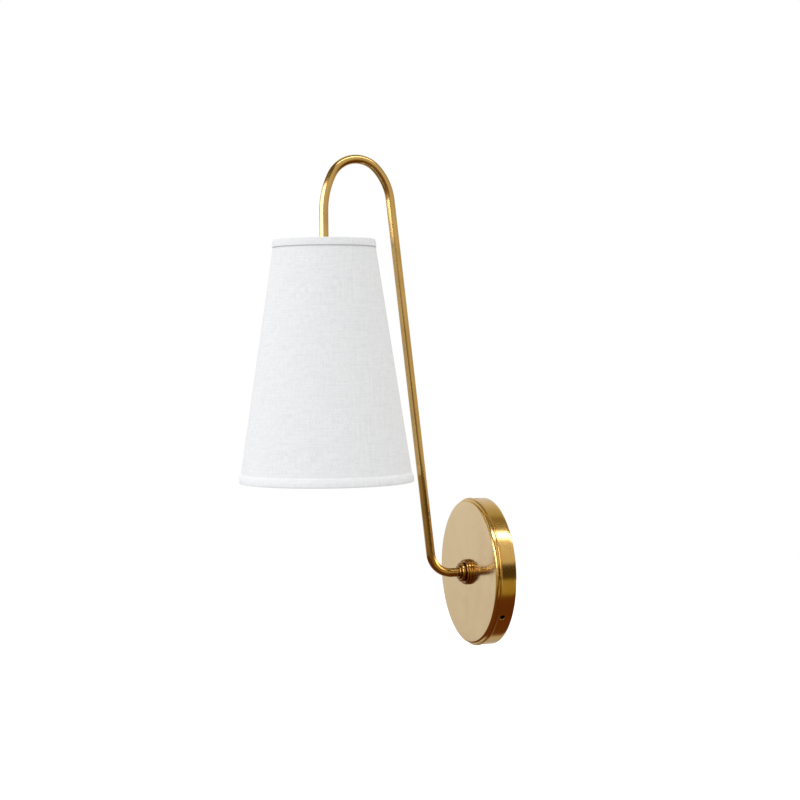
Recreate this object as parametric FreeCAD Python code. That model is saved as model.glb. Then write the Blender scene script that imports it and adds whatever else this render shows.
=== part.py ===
import FreeCAD, Part
import math
import os

from FreeCAD import Vector

# Wall light with a bent brass arm and a linen cone shade, in millimetres.
# The origin is the centre of the canopy's back, on the wall. +Z is up, +X is to the right as seen
# from the room, and the light stands out from the wall along -Y.
# A "height" below is a distance out from the wall, along -Y, and z is measured from the arm's stem.

# ---- driving sizes: canopy ----
canopy_depth = 18.5
canopy_wall = 1.4
rim_radius = 66.1
face_radius = 63.3
bead_stands_proud = 0.575
bead_half_width = 0.72
bead_behind_face = 4.35
ovolo_foot_inset = 0.75

# ---- driving sizes: collar on the canopy ----
seat_ring_radius = 11.6
seat_ring_height = 2.6
seat_step_radius = 11.1
seat_height = 4.6
seat_groove = 0.7
bead_ring_radius = 9.0
bead_ring_height = 3.6
bead_ring_step = 1.5
bead_neck_height = 0.5
ferrule_radius = 6.3
ferrule_height = 1.7

# ---- driving sizes: arm ----
tube_radius = 3.97
tube_wall = 0.95
stem_run = 16.4
stem_bend_radius = 19.8
arm_top_z = 369.6
arm_reach = 152.4
crown_radius = 25.8
crown_room_turn = 63.5
crown_wall_turn = 46.3
room_shoulder_radius = 71.4
wall_shoulder_radius = 47.7
thread_clearance = 0.05

# ---- flats that stand for a round, few where a piece is hidden ----
canopy_sides = 48
collar_sides = 24
shade_sides = 36
small_sides = 20
arm_sides = 12
bore_sides = 8
wire_sides = 6
spoke_sides = 8
screw_sides = 12

# ---- driving sizes: what locks the arm inside the canopy ----
lock_washer_height = 0.9
lock_washer_radius = 7.4
lock_washer_teeth = 12
lock_washer_notch = 1.1
lug_height = 0.8
lug_radius = 6.8
lug_tail_length = 15.0
lug_tail_width = 5.0
stem_nut_height = 4.0
stem_nut_across_flats = 13.0
thread_past_nut = 1.6

# ---- driving sizes: wall bracket and its screws ----
bracket_thickness = 1.5
bracket_radius = 52.0
bracket_window_radius = 17.0
box_screw_near_spacing = 69.85
box_screw_far_spacing = 88.9
box_screw_slot_radius = 2.4
ear_width = 12.0
ear_gap_to_rim = 0.5
ear_bend_radius = 1.6
ear_overhang = 4.2
ear_root = 4.0
side_screw_from_wall = 9.2
side_screw_angles = (90.0, -32.0, 212.0)
side_screw_radius = 2.0
side_screw_length = 6.2
side_screw_recess = 1.0
side_screw_socket_across_flats = 2.0
side_screw_socket_depth = 2.2
rim_hole_radius = 2.3
rim_hole_countersink = 0.45
ground_screw_angle = 135.0
ground_screw_distance = 27.0
ground_screw_radius = 2.3
ground_screw_length = 4.6
ground_head_across_flats = 8.0
ground_head_height = 2.6
ground_flange_radius = 5.2
ground_flange_height = 0.8
ground_boss_radius = 6.6
ground_boss_height = 3.4

# ---- driving sizes: leads ----
lead_radius = 1.15
lead_offset = 1.3
lead_bend_radius = 4.0
lead_plane_height = 4.6
lead_tuck_distance = 30.0
lead_corner_radius = 9.0
lead_tail_length = 22.0
lead_below_tube = 1.0
lead_swing = 60.0
ground_wire_radius = 0.8
ground_wire_bend = 3.0
ground_wire_on_tail = 0.6

# ---- driving sizes: shade ----
shade_bottom_z = 86.0
shade_height = 212.4
shade_bottom_radius = 76.3
shade_top_radius = 44.0
linen_thickness = 0.5
liner_thickness = 0.45
cloth_thickness = 0.55
top_band_height = 6.6
bottom_band_height = 8.0
inner_fold_height = 9.0
glue_gap = 0.05
frame_wire_radius = 1.2

# ---- driving sizes: spider and its seat ----
spider_drop = 13.0
spoke_count = 3
spoke_radius = 1.2
spoke_bend_radius = 6.0
spoke_slant = 30.0
spoke_lead_in = 3.0
spoke_into_washer = 2.0
washer_radius = 12.0
washer_height = 1.4
washer_bore_clearance = 0.08
seat_nut_across_flats = 15.0
seat_nut_height = 4.5
retainer_radius = 8.0
retainer_height = 5.0
retainer_gap = 0.3
retainer_ridges = 24
retainer_ridge_height = 0.5

# ---- driving sizes: lamp holder ----
cap_neck_radius = 6.6
cap_neck_height = 7.0
cap_dome_height = 11.0
cap_skirt_height = 8.0
cap_radius = 17.3
cap_wall = 0.8
dome_fullness = 0.8
dome_shoulder = 0.3
tube_into_cap = 8.6
shell_wall = 0.6
shell_length = 40.0
shell_lip_radius = 0.9
sleeve_wall = 0.5
sleeve_short_of_lip = 2.0
sleeve_gap = 0.1
shell_fit_gap = 0.1
shell_below_dome = 1.0
body_length = 13.0
body_floor = 3.0
body_gap = 0.3
body_below_dome = 3.0
terminal_flat_inset = 5.2
terminal_screw_radius = 1.6
terminal_head_radius = 2.6
terminal_head_height = 1.1
terminal_slot_width = 0.8
terminal_screw_length = 4.0
terminal_below_top = 5.5
screw_shell_wall = 0.4
screw_shell_length = 23.0
contact_hole_radius = 10.5
contact_drop = 3.0
contact_rivet_offset = 7.0
contact_rivet_radius = 2.6
contact_rivet_shank = 1.6
contact_rivet_height = 0.8
contact_strip_width = 5.0
contact_strip_thickness = 0.5
contact_strip_length = 14.0
contact_strip_foot = 1.84
contact_strip_lean = 0.2

# ---- driving sizes: bulb ----
bulb_base_radius = 13.0
bulb_base_clearance = 0.09
bulb_base_length = 20.0
bulb_base_wall = 0.35
bulb_base_curl = 1.0
bulb_shoulder_height = 4.5
bulb_shoulder_top_radius = 5.4
bulb_tip_radius = 4.6
bulb_tip_height = 1.2
bulb_tip_chamfer = 1.4
bulb_radius = 24.0
bulb_glass_length = 64.0
bulb_glass_wall = 1.0
bulb_neck_radius = 12.4
bulb_neck_into_base = 4.0
bulb_chords = 6

# ---- places worked out from the sizes above ----
ORIGIN = Vector(0, 0, 0)
ARC_MIDDLE = 1 - math.sqrt(0.5)
UP = Vector(0, 0, 1)
INTO_WALL = Vector(0, 1, 0)
shade_centre = Vector(0, -arm_reach, 0)
canopy_inside = canopy_depth - canopy_wall
tube_start = canopy_inside - lock_washer_height - lug_height - stem_nut_height - thread_past_nut
shade_top_z = shade_bottom_z + shade_height
washer_top_z = shade_top_z - spider_drop
washer_bottom_z = washer_top_z - washer_height
cap_top_z = washer_bottom_z - seat_nut_height
tube_end_z = cap_top_z - tube_into_cap
dome_top_z = cap_top_z - cap_neck_height
skirt_top_z = dome_top_z - cap_dome_height
skirt_bottom_z = skirt_top_z - cap_skirt_height
body_top_z = skirt_top_z - body_below_dome
body_bottom_z = body_top_z - body_length
terminal_z = body_top_z - terminal_below_top
shell_radius = cap_radius - cap_wall - shell_fit_gap
shell_top_z = skirt_top_z - shell_below_dome
shell_bottom_z = shell_top_z - shell_length
sleeve_radius = shell_radius - shell_wall - sleeve_gap
body_radius = sleeve_radius - sleeve_wall - body_gap
flat_distance = body_radius - terminal_flat_inset
contact_face_z = body_bottom_z - contact_drop
shoulder_top_z = contact_face_z - bulb_tip_height
base_top_z = shoulder_top_z - bulb_shoulder_height
base_bottom_z = base_top_z - bulb_base_length


# ---- outlines and turned pieces ----
def joined(*parts):
    """One shape from pieces that overlap or meet."""
    whole = parts[0].multiFuse(list(parts[1:]))
    return whole.removeSplitter()


def outline(stations, place):
    """A closed flat face. A station is a point, or a pair: a point on an arc, and the arc's end."""
    edges = []
    here = place(*stations[0])
    for station in list(stations[1:]) + [stations[0]]:
        if isinstance(station[0], tuple):
            through, end = (place(*point) for point in station)
            edges.append(Part.Arc(here, through, end).toShape())
        else:
            end = place(*station)
            if here.distanceToPoint(end) > 1e-6:
                edges.append(Part.LineSegment(here, end).toShape())
        here = end
    return Part.Face(Part.Wire(edges))


def chords(stations, steps):
    """The same outline as points alone: each arc becomes that many chords, none past the axis."""
    points = [stations[0]]
    for station in stations[1:]:
        if not isinstance(station[0], tuple):
            points.append(station)
            continue
        start, through, end = (Vector(x, y, 0) for x, y in (points[-1], *station))
        arc = Part.Arc(start, through, end).toShape()
        points += [(max(round(point.x, 6), 0), point.y) for point in arc.discretize(steps + 1)[1:]]
    return points


def turned(stations, sides, steps, place):
    """A turned solid with flats: place(radius, along, turn) says where a point of the outline goes."""
    points = chords(stations, steps)
    faces = []
    for side in range(sides):
        turns = (2 * math.pi * side / sides, 2 * math.pi * (side + 1) / sides)
        for (radius, along), (next_radius, next_along) in zip(points, points[1:] + points[:1]):
            corners = [place(radius, along, turns[0]), place(next_radius, next_along, turns[0])]
            if next_radius > 0:
                corners.append(place(next_radius, next_along, turns[1]))
            if radius > 0:
                corners.append(place(radius, along, turns[1]))
            if len(corners) > 2:
                faces.append(Part.Face(Part.makePolygon(corners + corners[:1])))
    solid = Part.makeSolid(Part.makeShell(faces))
    if solid.Volume < 0:
        solid.reverse()
    return solid.removeSplitter()


def turned_on_stem(stations, sides=small_sides, steps=3):
    """Turned about the stem's axis, from (radius, height off the wall) stations."""
    return turned(stations, sides, steps, lambda radius, height, turn:
                  Vector(radius * math.cos(turn), -height, radius * math.sin(turn)))


def turned_on_shade(stations, sides=small_sides, steps=3):
    """Turned about the shade's upright axis, from (radius, z) stations."""
    return turned(stations, sides, steps, lambda radius, z, turn:
                  shade_centre + Vector(radius * math.cos(turn), radius * math.sin(turn), z))


def bore(clearance, sides=small_sides):
    """The corner radius of a bore whose flats clear the arm's tube."""
    return (tube_radius + clearance) / math.cos(math.pi / sides)


def rod(radius, length, foot, direction):
    return Part.makeCylinder(radius, length, foot, direction)


def threaded(radius, length, foot, direction):
    """What a screw of that radius needs cut out for it: flats that its corners clear."""
    return prism(screw_sides, (radius + thread_clearance) / math.cos(math.pi / screw_sides),
                 length, foot, direction)


def screw_bar(radius, length, foot, direction):
    """A screw's plain shank."""
    return prism(screw_sides, radius, length, foot, direction)


def prism(sides, corner_radius, length, foot, direction):
    """A prism that stands on foot, with a corner that points sideways."""
    side = direction.cross(UP)
    if side.Length < 0.5:
        side = Vector(1, 0, 0)
    side.normalize()
    other = direction.cross(side)
    corners = []
    for step in range(sides + 1):
        turn = 2 * math.pi * step / sides
        offset = side * math.cos(turn) + other * math.sin(turn)
        corners.append(foot + offset * corner_radius)
    return Part.Face(Part.makePolygon(corners)).extrude(direction * length)


def hex_nut(across_flats, length, foot, direction):
    """A hexagonal nut on the arm's thread, with the corners of its far face turned off."""
    corner_radius = across_flats / math.sqrt(3)
    chamfer = (corner_radius - across_flats / 2) * 0.6
    blank = prism(6, corner_radius, length, foot, direction)
    turned_off = Part.makeCone(corner_radius + length, corner_radius - chamfer, length + chamfer,
                               foot - direction * chamfer, direction)
    return blank.common(turned_off).cut(rod(tube_radius + thread_clearance, length, foot, direction))


# ---- paths and tubes ----
def arc_through(start, start_heading, side, radius, turn):
    """An arc of the given turn in degrees, and its end and end heading. side points at its centre."""
    centre = start + side * radius
    half = math.radians(turn / 2)
    whole = math.radians(turn)
    middle = centre - side * (radius * math.cos(half)) + start_heading * (radius * math.sin(half))
    end = centre - side * (radius * math.cos(whole)) + start_heading * (radius * math.sin(whole))
    heading = start_heading * math.cos(whole) + side * math.sin(whole)
    return Part.Arc(start, middle, end).toShape(), end, heading


class Route:
    """A path of straight runs and tangent arcs."""

    def __init__(self, start, heading):
        self.here = start
        self.heading = Vector(heading).normalize()
        self.edges = []

    def run(self, length):
        end = self.here + self.heading * length
        self.edges.append(Part.LineSegment(self.here, end).toShape())
        self.here = end

    def turn(self, side, radius, degrees):
        side = Vector(side)
        side = side - self.heading * side.dot(self.heading)
        side.normalize()
        edge, self.here, self.heading = arc_through(self.here, self.heading, side, radius, degrees)
        self.edges.append(edge)

    def length(self):
        return sum(edge.Length for edge in self.edges)

    def swept(self, radius, sides, label):
        """A bar along the path, with flats. Its volume is compared with section times length."""
        first = self.edges[0]
        start = first.Vertexes[0].Point
        heading = first.tangentAt(first.FirstParameter)
        corner = heading.cross(Vector(0.3, 0.5, 0.8)).normalize()
        other = heading.cross(corner)
        points = []
        for step in range(sides + 1):
            turn = 2 * math.pi * step / sides
            points.append(start + corner * (radius * math.cos(turn)) + other * (radius * math.sin(turn)))
        bar = Part.Wire(self.edges).makePipeShell([Part.makePolygon(points)], True, False)
        section = 0.5 * sides * radius ** 2 * math.sin(2 * math.pi / sides)
        expected = section * self.length()
        print(label, "volume", round(bar.Volume, 2), "section times length", round(expected, 2))
        return bar


def arm_angles():
    """Places on the arm's centre line, in the plane of reach (out from the wall) and z."""
    room_turn = math.radians(crown_room_turn)
    wall_turn = math.radians(crown_wall_turn)
    shoulder_reach = crown_radius * math.sin(room_turn) + room_shoulder_radius * (1 - math.sin(room_turn))
    crown_reach = arm_reach - shoulder_reach
    joint_reach = crown_reach - crown_radius * math.sin(wall_turn)
    joint_z = arm_top_z - crown_radius * (1 - math.cos(wall_turn))
    wall_centre_reach = joint_reach + wall_shoulder_radius * math.sin(wall_turn)
    wall_centre_z = joint_z - wall_shoulder_radius * math.cos(wall_turn)
    stem_centre_reach = canopy_depth + stem_run
    across = wall_centre_reach - stem_centre_reach
    rise = wall_centre_z - stem_bend_radius
    between = math.hypot(across, rise)
    radii = stem_bend_radius + wall_shoulder_radius
    lean = math.atan2(across, rise) - math.asin(radii / between)
    leg = math.sqrt(between ** 2 - radii ** 2)
    return math.degrees(lean), leg


def follow_arm(route):
    """Adds the arm's bends to a route that has reached the stem's bend, up to the last straight."""
    lean, leg = arm_angles()
    room = -INTO_WALL
    route.turn(UP, stem_bend_radius, 90 - lean)
    route.run(leg)
    route.turn(room, wall_shoulder_radius, 90 - lean - crown_wall_turn)
    route.turn(room, crown_radius, crown_wall_turn)
    route.turn(-UP, crown_radius, crown_room_turn)
    route.turn(-UP, room_shoulder_radius, 90 - crown_room_turn)


def arm_route():
    """The arm's centre line, from inside the canopy to inside the lamp holder's cap."""
    route = Route(-INTO_WALL * tube_start, -INTO_WALL)
    route.run(canopy_depth - tube_start + stem_run)
    follow_arm(route)
    route.run(route.here.z - tube_end_z)
    return route


def make_arm_tube():
    """One tube, bent and threaded at both ends."""
    outside = arm_route().swept(tube_radius, arm_sides, "arm outside")
    inside = arm_route().swept(tube_radius - tube_wall, bore_sides, "arm bore")
    return outside.cut(inside)


# ---- canopy and what locks the arm to it ----
def make_canopy():
    bead_height = canopy_depth - bead_behind_face
    bead_top = bead_height + bead_half_width
    ovolo_foot = rim_radius - ovolo_foot_inset
    ovolo_depth = canopy_depth - bead_top
    ovolo_run = ovolo_foot - face_radius
    ovolo_middle = (face_radius + ovolo_run * 0.76, canopy_depth - ovolo_depth * 0.33)
    inner_rim = rim_radius - canopy_wall
    inner_shoulder = bead_height - canopy_wall
    inner = bore(thread_clearance)
    cup = turned_on_stem([
        (inner, canopy_inside),
        (inner, canopy_depth),
        (face_radius, canopy_depth),
        (ovolo_middle, (ovolo_foot, bead_top)),
        (rim_radius, bead_top),
        ((rim_radius + bead_stands_proud, bead_height), (rim_radius, bead_height - bead_half_width)),
        (rim_radius, 0),
        (inner_rim, 0),
        (inner_rim, inner_shoulder),
        ((inner_rim - ovolo_run * 0.3, inner_shoulder + ovolo_depth * 0.7),
         (face_radius - canopy_wall, canopy_inside)),
    ], canopy_sides)
    for angle in side_screw_angles:
        outward = rim_direction(angle)
        height = Vector(0, -side_screw_from_wall, 0)
        drill = rod(rim_hole_radius, 4 * canopy_wall, height + outward * (inner_rim - canopy_wall), outward)
        sink_foot = height + outward * (rim_radius - rim_hole_countersink)
        sink_height = 2 * rim_hole_countersink
        sink = Part.makeCone(rim_hole_radius, rim_hole_radius + sink_height, sink_height, sink_foot, outward)
        cup = cup.cut(drill).cut(sink)
    return cup


def rim_direction(angle):
    return Vector(math.cos(math.radians(angle)), 0, math.sin(math.radians(angle)))


def make_seat_flange():
    """The collar's ring against the face: a rounded foot, a groove and a stepped top."""
    foot = canopy_depth
    groove_foot = foot + seat_ring_height
    groove_top = groove_foot + 0.5 * seat_groove
    top = foot + seat_height
    rounding = 0.2 * seat_ring_height
    inner = bore(thread_clearance, collar_sides)
    return turned_on_stem([
        (inner, foot),
        (seat_ring_radius - rounding, foot),
        ((seat_ring_radius, foot + 0.5 * seat_ring_height), (seat_ring_radius - rounding, groove_foot)),
        (seat_step_radius - seat_groove, groove_foot),
        (seat_step_radius - seat_groove, groove_top),
        (seat_step_radius, groove_top),
        (seat_step_radius, top - rounding),
        (seat_step_radius - rounding, top),
        (inner, top),
    ], collar_sides)


def make_bead_ring():
    foot = canopy_depth + seat_height
    top = foot + bead_ring_height
    neck = bead_ring_radius - bead_ring_step
    inner = bore(thread_clearance, collar_sides)
    return turned_on_stem([
        (inner, foot),
        (neck + bead_neck_height, foot),
        (neck + bead_neck_height, foot + bead_neck_height),
        ((bead_ring_radius, 0.5 * (foot + bead_neck_height + top)), (neck, top)),
        (inner, top),
    ], collar_sides, 5)


def make_ferrule():
    """The small ring brazed to the tube, the shoulder that the nut draws the arm in against."""
    foot = canopy_depth + seat_height + bead_ring_height
    top = foot + ferrule_height
    rounding = 0.3 * ferrule_height
    inner = bore(glue_gap, collar_sides)
    return turned_on_stem([
        (inner, foot),
        (ferrule_radius - rounding, foot),
        ((ferrule_radius, 0.5 * (foot + top)), (ferrule_radius - rounding, top)),
        (inner, top),
    ], collar_sides)


def star(points, outer, notch, length, foot, direction, across):
    """A prism with sharp teeth. foot is the centre of its end, and across lies in that end."""
    other = direction.cross(across)
    corners = []
    for step in range(2 * points + 1):
        turn = math.pi * step / points
        reach = outer - notch * (step % 2)
        corners.append(foot + across * (reach * math.cos(turn)) + other * (reach * math.sin(turn)))
    return Part.Face(Part.makePolygon(corners)).extrude(direction * length)


def make_lock_washer():
    """A washer with a ring of sharp teeth that bite the nut and the canopy."""
    top = canopy_inside
    across = Vector(1, 0, 0)
    ring = star(lock_washer_teeth, lock_washer_radius, lock_washer_notch, lock_washer_height,
                -INTO_WALL * top, INTO_WALL, across)
    return ring.cut(rod(tube_radius + thread_clearance, lock_washer_height, -INTO_WALL * top, INTO_WALL))


def ground_spot(height):
    """The ground screw's axis, beside the wire that runs straight out from the lug."""
    outward = rim_direction(ground_screw_angle)
    aside = outward.cross(INTO_WALL) * (ground_screw_radius + ground_wire_radius + glue_gap)
    return outward * ground_screw_distance + aside - INTO_WALL * height


def lug_foot_height():
    return canopy_inside - lock_washer_height - lug_height


def make_ground_lug():
    """A flat ring terminal with a tail that points at the ground screw."""
    foot = -INTO_WALL * lug_foot_height()
    ring = prism(small_sides, lug_radius, lug_height, foot, -INTO_WALL)
    outward = rim_direction(ground_screw_angle)
    half_width = outward.cross(INTO_WALL) * (0.5 * lug_tail_width)
    end = outward * lug_tail_length
    corners = [foot - half_width, foot + half_width, foot + half_width + end, foot - half_width + end]
    tail = Part.Face(Part.makePolygon(corners + corners[:1])).extrude(-INTO_WALL * lug_height)
    hole = rod(tube_radius + thread_clearance, lug_height, foot, -INTO_WALL)
    return joined(ring, tail).cut(hole)


def make_stem_nut():
    return hex_nut(stem_nut_across_flats, stem_nut_height, -INTO_WALL * lug_foot_height(), INTO_WALL)


# ---- wall bracket and its screws ----
def make_wall_bracket():
    """A disc with a window, two slots, a raised boss and three bent ears."""
    plate = prism(canopy_sides, bracket_radius, bracket_thickness, ORIGIN, -INTO_WALL)
    ear_outside = rim_radius - canopy_wall - ear_gap_to_rim
    ear_top = side_screw_from_wall + ear_overhang
    outer_bend = ear_bend_radius + bracket_thickness
    bracket = plate
    for angle in side_screw_angles:
        outward = rim_direction(angle)
        across = outward.cross(INTO_WALL)

        def ear_place(radius, height):
            return outward * radius - INTO_WALL * height - across * (0.5 * ear_width)

        ear_inside = ear_outside - bracket_thickness
        outer_knee = outer_bend * ARC_MIDDLE
        inner_knee = ear_bend_radius * ARC_MIDDLE
        profile = outline([
            (bracket_radius - ear_root, 0),
            (ear_outside - outer_bend, 0),
            ((ear_outside - outer_knee, outer_knee), (ear_outside, outer_bend)),
            (ear_outside, ear_top),
            (ear_inside, ear_top),
            (ear_inside, outer_bend),
            ((ear_inside - inner_knee, bracket_thickness + inner_knee),
             (ear_outside - outer_bend, bracket_thickness)),
            (bracket_radius - ear_root, bracket_thickness),
        ], ear_place)
        bracket = bracket.fuse(profile.extrude(across * ear_width))
    boss = prism(small_sides, ground_boss_radius, ground_boss_height, ground_spot(0), -INTO_WALL)
    hollow = prism(small_sides, ground_boss_radius - bracket_thickness,
                   ground_boss_height - bracket_thickness, ground_spot(0), -INTO_WALL)
    bracket = bracket.fuse(boss).cut(hollow)
    bracket = bracket.cut(threaded(ground_screw_radius, ground_boss_height, ground_spot(0), -INTO_WALL))
    bracket = bracket.cut(prism(canopy_sides, bracket_window_radius, bracket_thickness, ORIGIN, -INTO_WALL))
    for side in (-1, 1):
        bracket = bracket.cut(slot_cutter(side))
    for angle in side_screw_angles:
        outward = rim_direction(angle)
        behind_ear = outward * (ear_outside - 2 * bracket_thickness) - INTO_WALL * side_screw_from_wall
        bracket = bracket.cut(threaded(side_screw_radius, 4 * bracket_thickness, behind_ear, outward))
    return bracket.removeSplitter()


def slot_cutter(side):
    """A straight slot that reaches both spacings of the screws in a ceiling or wall box."""
    near = side * box_screw_near_spacing / 2
    far = side * box_screw_far_spacing / 2
    depth = -INTO_WALL * bracket_thickness
    ends = [rod(box_screw_slot_radius, bracket_thickness, Vector(x, 0, 0), -INTO_WALL) for x in (near, far)]
    corners = [Vector(near, 0, -box_screw_slot_radius), Vector(far, 0, -box_screw_slot_radius),
               Vector(far, 0, box_screw_slot_radius), Vector(near, 0, box_screw_slot_radius)]
    middle = Part.Face(Part.makePolygon(corners + corners[:1])).extrude(depth)
    return joined(middle, *ends)


def make_side_screws():
    """Three grub screws with hexagonal sockets, screwed through the ears into the rim's holes."""
    screws = []
    for angle in side_screw_angles:
        outward = rim_direction(angle)
        head = outward * (rim_radius - side_screw_recess) - INTO_WALL * side_screw_from_wall
        screw = screw_bar(side_screw_radius, side_screw_length, head, -outward)
        socket_corner = side_screw_socket_across_flats / math.sqrt(3)
        screws.append(screw.cut(prism(6, socket_corner, side_screw_socket_depth, head, -outward)))
    return Part.makeCompound(screws)


def make_ground_screw():
    foot = ground_boss_height
    shank = screw_bar(ground_screw_radius, ground_screw_length, ground_spot(foot), INTO_WALL)
    clamp = foot + 2 * ground_wire_radius
    shank_above = screw_bar(ground_screw_radius, clamp - foot, ground_spot(foot), -INTO_WALL)
    flange = prism(small_sides, ground_flange_radius, ground_flange_height, ground_spot(clamp), -INTO_WALL)
    head = prism(6, ground_head_across_flats / math.sqrt(3), ground_head_height,
                 ground_spot(clamp + ground_flange_height), -INTO_WALL)
    return joined(shank, shank_above, flange, head)


# ---- leads ----
def make_lead(side, name):
    """One mains lead, from its cut end in the canopy, through the arm, to its terminal."""
    room = -INTO_WALL
    outward = Vector(side, 0, 0)
    corner = lead_corner_radius
    start = Vector(side * lead_tuck_distance, -lead_plane_height, -side * (corner + lead_tail_length))
    route = Route(start, UP * side)
    route.run(lead_tail_length)
    route.turn(-outward, corner, 90)
    route.run(lead_tuck_distance - corner - lead_offset - lead_bend_radius)
    route.turn(room, lead_bend_radius, 90)
    route.run(canopy_depth + stem_run - lead_plane_height - lead_bend_radius)
    follow_arm(route)
    route.run(route.here.z - tube_end_z + lead_below_tube)
    # an S bend outwards to the flat of the moulded body
    swing = math.radians(lead_swing)
    sideways = flat_distance + lead_radius - lead_offset
    slant = (sideways - 2 * lead_bend_radius * (1 - math.cos(swing))) / math.sin(swing)
    route.turn(outward, lead_bend_radius, lead_swing)
    route.run(slant)
    route.turn(-UP, lead_bend_radius, lead_swing)
    route.run(route.here.z - terminal_z + terminal_screw_radius)
    return route.swept(lead_radius, wire_sides, name)


def make_ground_wire():
    """From the lug's tail to the ground screw, in the plane that holds both."""
    outward = rim_direction(ground_screw_angle)
    on_tail = ground_wire_on_tail * lug_tail_length
    height = lug_foot_height() - ground_wire_radius
    clamped = ground_boss_height + ground_wire_radius
    bend = ground_wire_bend
    route = Route(outward * on_tail - INTO_WALL * height, outward)
    route.run(ground_screw_distance - ground_flange_radius - 2 * bend - on_tail)
    route.turn(INTO_WALL, bend, 90)
    route.run(height - clamped - 2 * bend)
    route.turn(outward, bend, 90)
    route.run(ground_flange_radius + ground_screw_radius)
    return route.swept(ground_wire_radius, wire_sides, "ground wire")


# ---- shade ----
def from_top(along, out):
    """A (radius, z) station on the cone: a distance down its slope and a distance out from the linen."""
    slope = math.atan2(shade_bottom_radius - shade_top_radius, shade_height)
    radius = shade_top_radius + along * math.sin(slope) + out * math.cos(slope)
    return radius, shade_top_z - along * math.cos(slope) + out * math.sin(slope)


def from_bottom(along, out):
    """The same, with the distance up from the bottom edge."""
    return from_top(slope_length() - along, out)


def slope_length():
    return math.hypot(shade_height, shade_bottom_radius - shade_top_radius)


def sheet_on_cone(outer, thickness):
    """One layer of the shade, whose outer face lies that far out from the linen's."""
    top = 0.0
    bottom = slope_length()
    inner = outer - thickness
    return turned_on_shade([from_top(top, outer), from_top(bottom, outer),
                            from_top(bottom, inner), from_top(top, inner)], shade_sides)


def liner_inside():
    return -linen_thickness - glue_gap - liner_thickness


def ring_station():
    """The frame wire's centre: along from the edge, and out from the linen."""
    return frame_wire_radius + glue_gap, liner_inside() - glue_gap - frame_wire_radius


def folded_band(place, outer_height, inner_height):
    """Cloth glued outside, folded over the edge and the frame wire, and glued inside."""
    along, out = ring_station()
    outer_face = glue_gap + cloth_thickness
    over = -glue_gap - cloth_thickness
    wire_face = out - frame_wire_radius - glue_gap
    liner_face = liner_inside() - glue_gap
    under_wire = along + frame_wire_radius + glue_gap
    landing = under_wire + (liner_face - wire_face)
    return turned_on_shade([
        place(outer_height, glue_gap),
        place(outer_height, outer_face),
        place(0, outer_face),
        place(over, 0),
        place(over, wire_face),
        place(0, wire_face - cloth_thickness),
        place(under_wire, wire_face - cloth_thickness),
        place(landing, liner_face - cloth_thickness),
        place(inner_height, liner_face - cloth_thickness),
        place(inner_height, liner_face),
        place(landing, liner_face),
        place(under_wire, wire_face),
        place(-glue_gap, wire_face),
        place(-glue_gap, glue_gap),
    ], shade_sides)


def frame_ring(place):
    """A frame wire bent to a circle."""
    along, out = ring_station()
    corners = []
    for step in range(wire_sides):
        turn = 2 * math.pi * step / wire_sides
        corners.append(place(along + frame_wire_radius * math.sin(turn),
                             out + frame_wire_radius * math.cos(turn)))
    return turned_on_shade(corners, shade_sides)


def spoke_route(turn):
    """A spoke's centre line, from beside the top ring, down to the washer's level and in to it."""
    ring_radius, ring_z = from_top(*ring_station())
    outward = rim_turn(turn)
    start = shade_centre + outward * (ring_radius - frame_wire_radius - glue_gap) + UP * ring_z
    route = Route(start, -outward)
    drop = ring_z - (washer_top_z - 0.5 * washer_height)
    slant = math.radians(spoke_slant)
    straight = (drop - 2 * spoke_bend_radius * (1 - math.cos(slant))) / math.sin(slant)
    route.run(spoke_lead_in)
    route.turn(-UP, spoke_bend_radius, spoke_slant)
    route.run(straight)
    route.turn(-outward, spoke_bend_radius, spoke_slant)
    reached = (route.here - shade_centre).dot(outward)
    route.run(reached - washer_radius + spoke_into_washer)
    return route


def rim_turn(degrees):
    return Vector(math.cos(math.radians(degrees)), math.sin(math.radians(degrees)), 0)


def spoke_turns():
    return [90 + 360 * number / spoke_count for number in range(spoke_count)]


def make_spider():
    """The washer that the shade hangs by, with its three spokes welded to it."""
    foot = shade_centre + UP * washer_bottom_z
    washer = prism(shade_sides, washer_radius, washer_height, foot, UP)
    washer = washer.cut(rod(tube_radius + washer_bore_clearance, washer_height, foot, UP))
    spokes = [spoke_route(turn).swept(spoke_radius, spoke_sides, "spoke") for turn in spoke_turns()]
    return joined(washer, *spokes)


def make_top_band():
    """The top band, slit where the spokes pass through its inner fold."""
    band = folded_band(from_top, top_band_height, inner_fold_height)
    ring_radius, ring_z = from_top(*ring_station())
    for turn in spoke_turns():
        outward = rim_turn(turn)
        foot = shade_centre + outward * (ring_radius - frame_wire_radius - glue_gap) + UP * ring_z
        slit = prism(spoke_sides, (spoke_radius + 2 * glue_gap) / math.cos(math.pi / spoke_sides),
                     spoke_lead_in + cloth_thickness, foot, -outward)
        band = band.cut(slit)
    return band


# ---- what the shade hangs on ----
def make_seat_nut():
    return hex_nut(seat_nut_across_flats, seat_nut_height, shade_centre + UP * washer_bottom_z, -UP)


def make_retainer():
    """The ridged ring above the spider's washer, turned down by hand until the shade stays put."""
    foot = shade_centre + UP * (washer_top_z + retainer_gap)
    ring = star(retainer_ridges, retainer_radius, retainer_ridge_height, retainer_height,
                foot, UP, Vector(1, 0, 0))
    return ring.cut(rod(tube_radius + thread_clearance, retainer_height, foot, UP))


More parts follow.
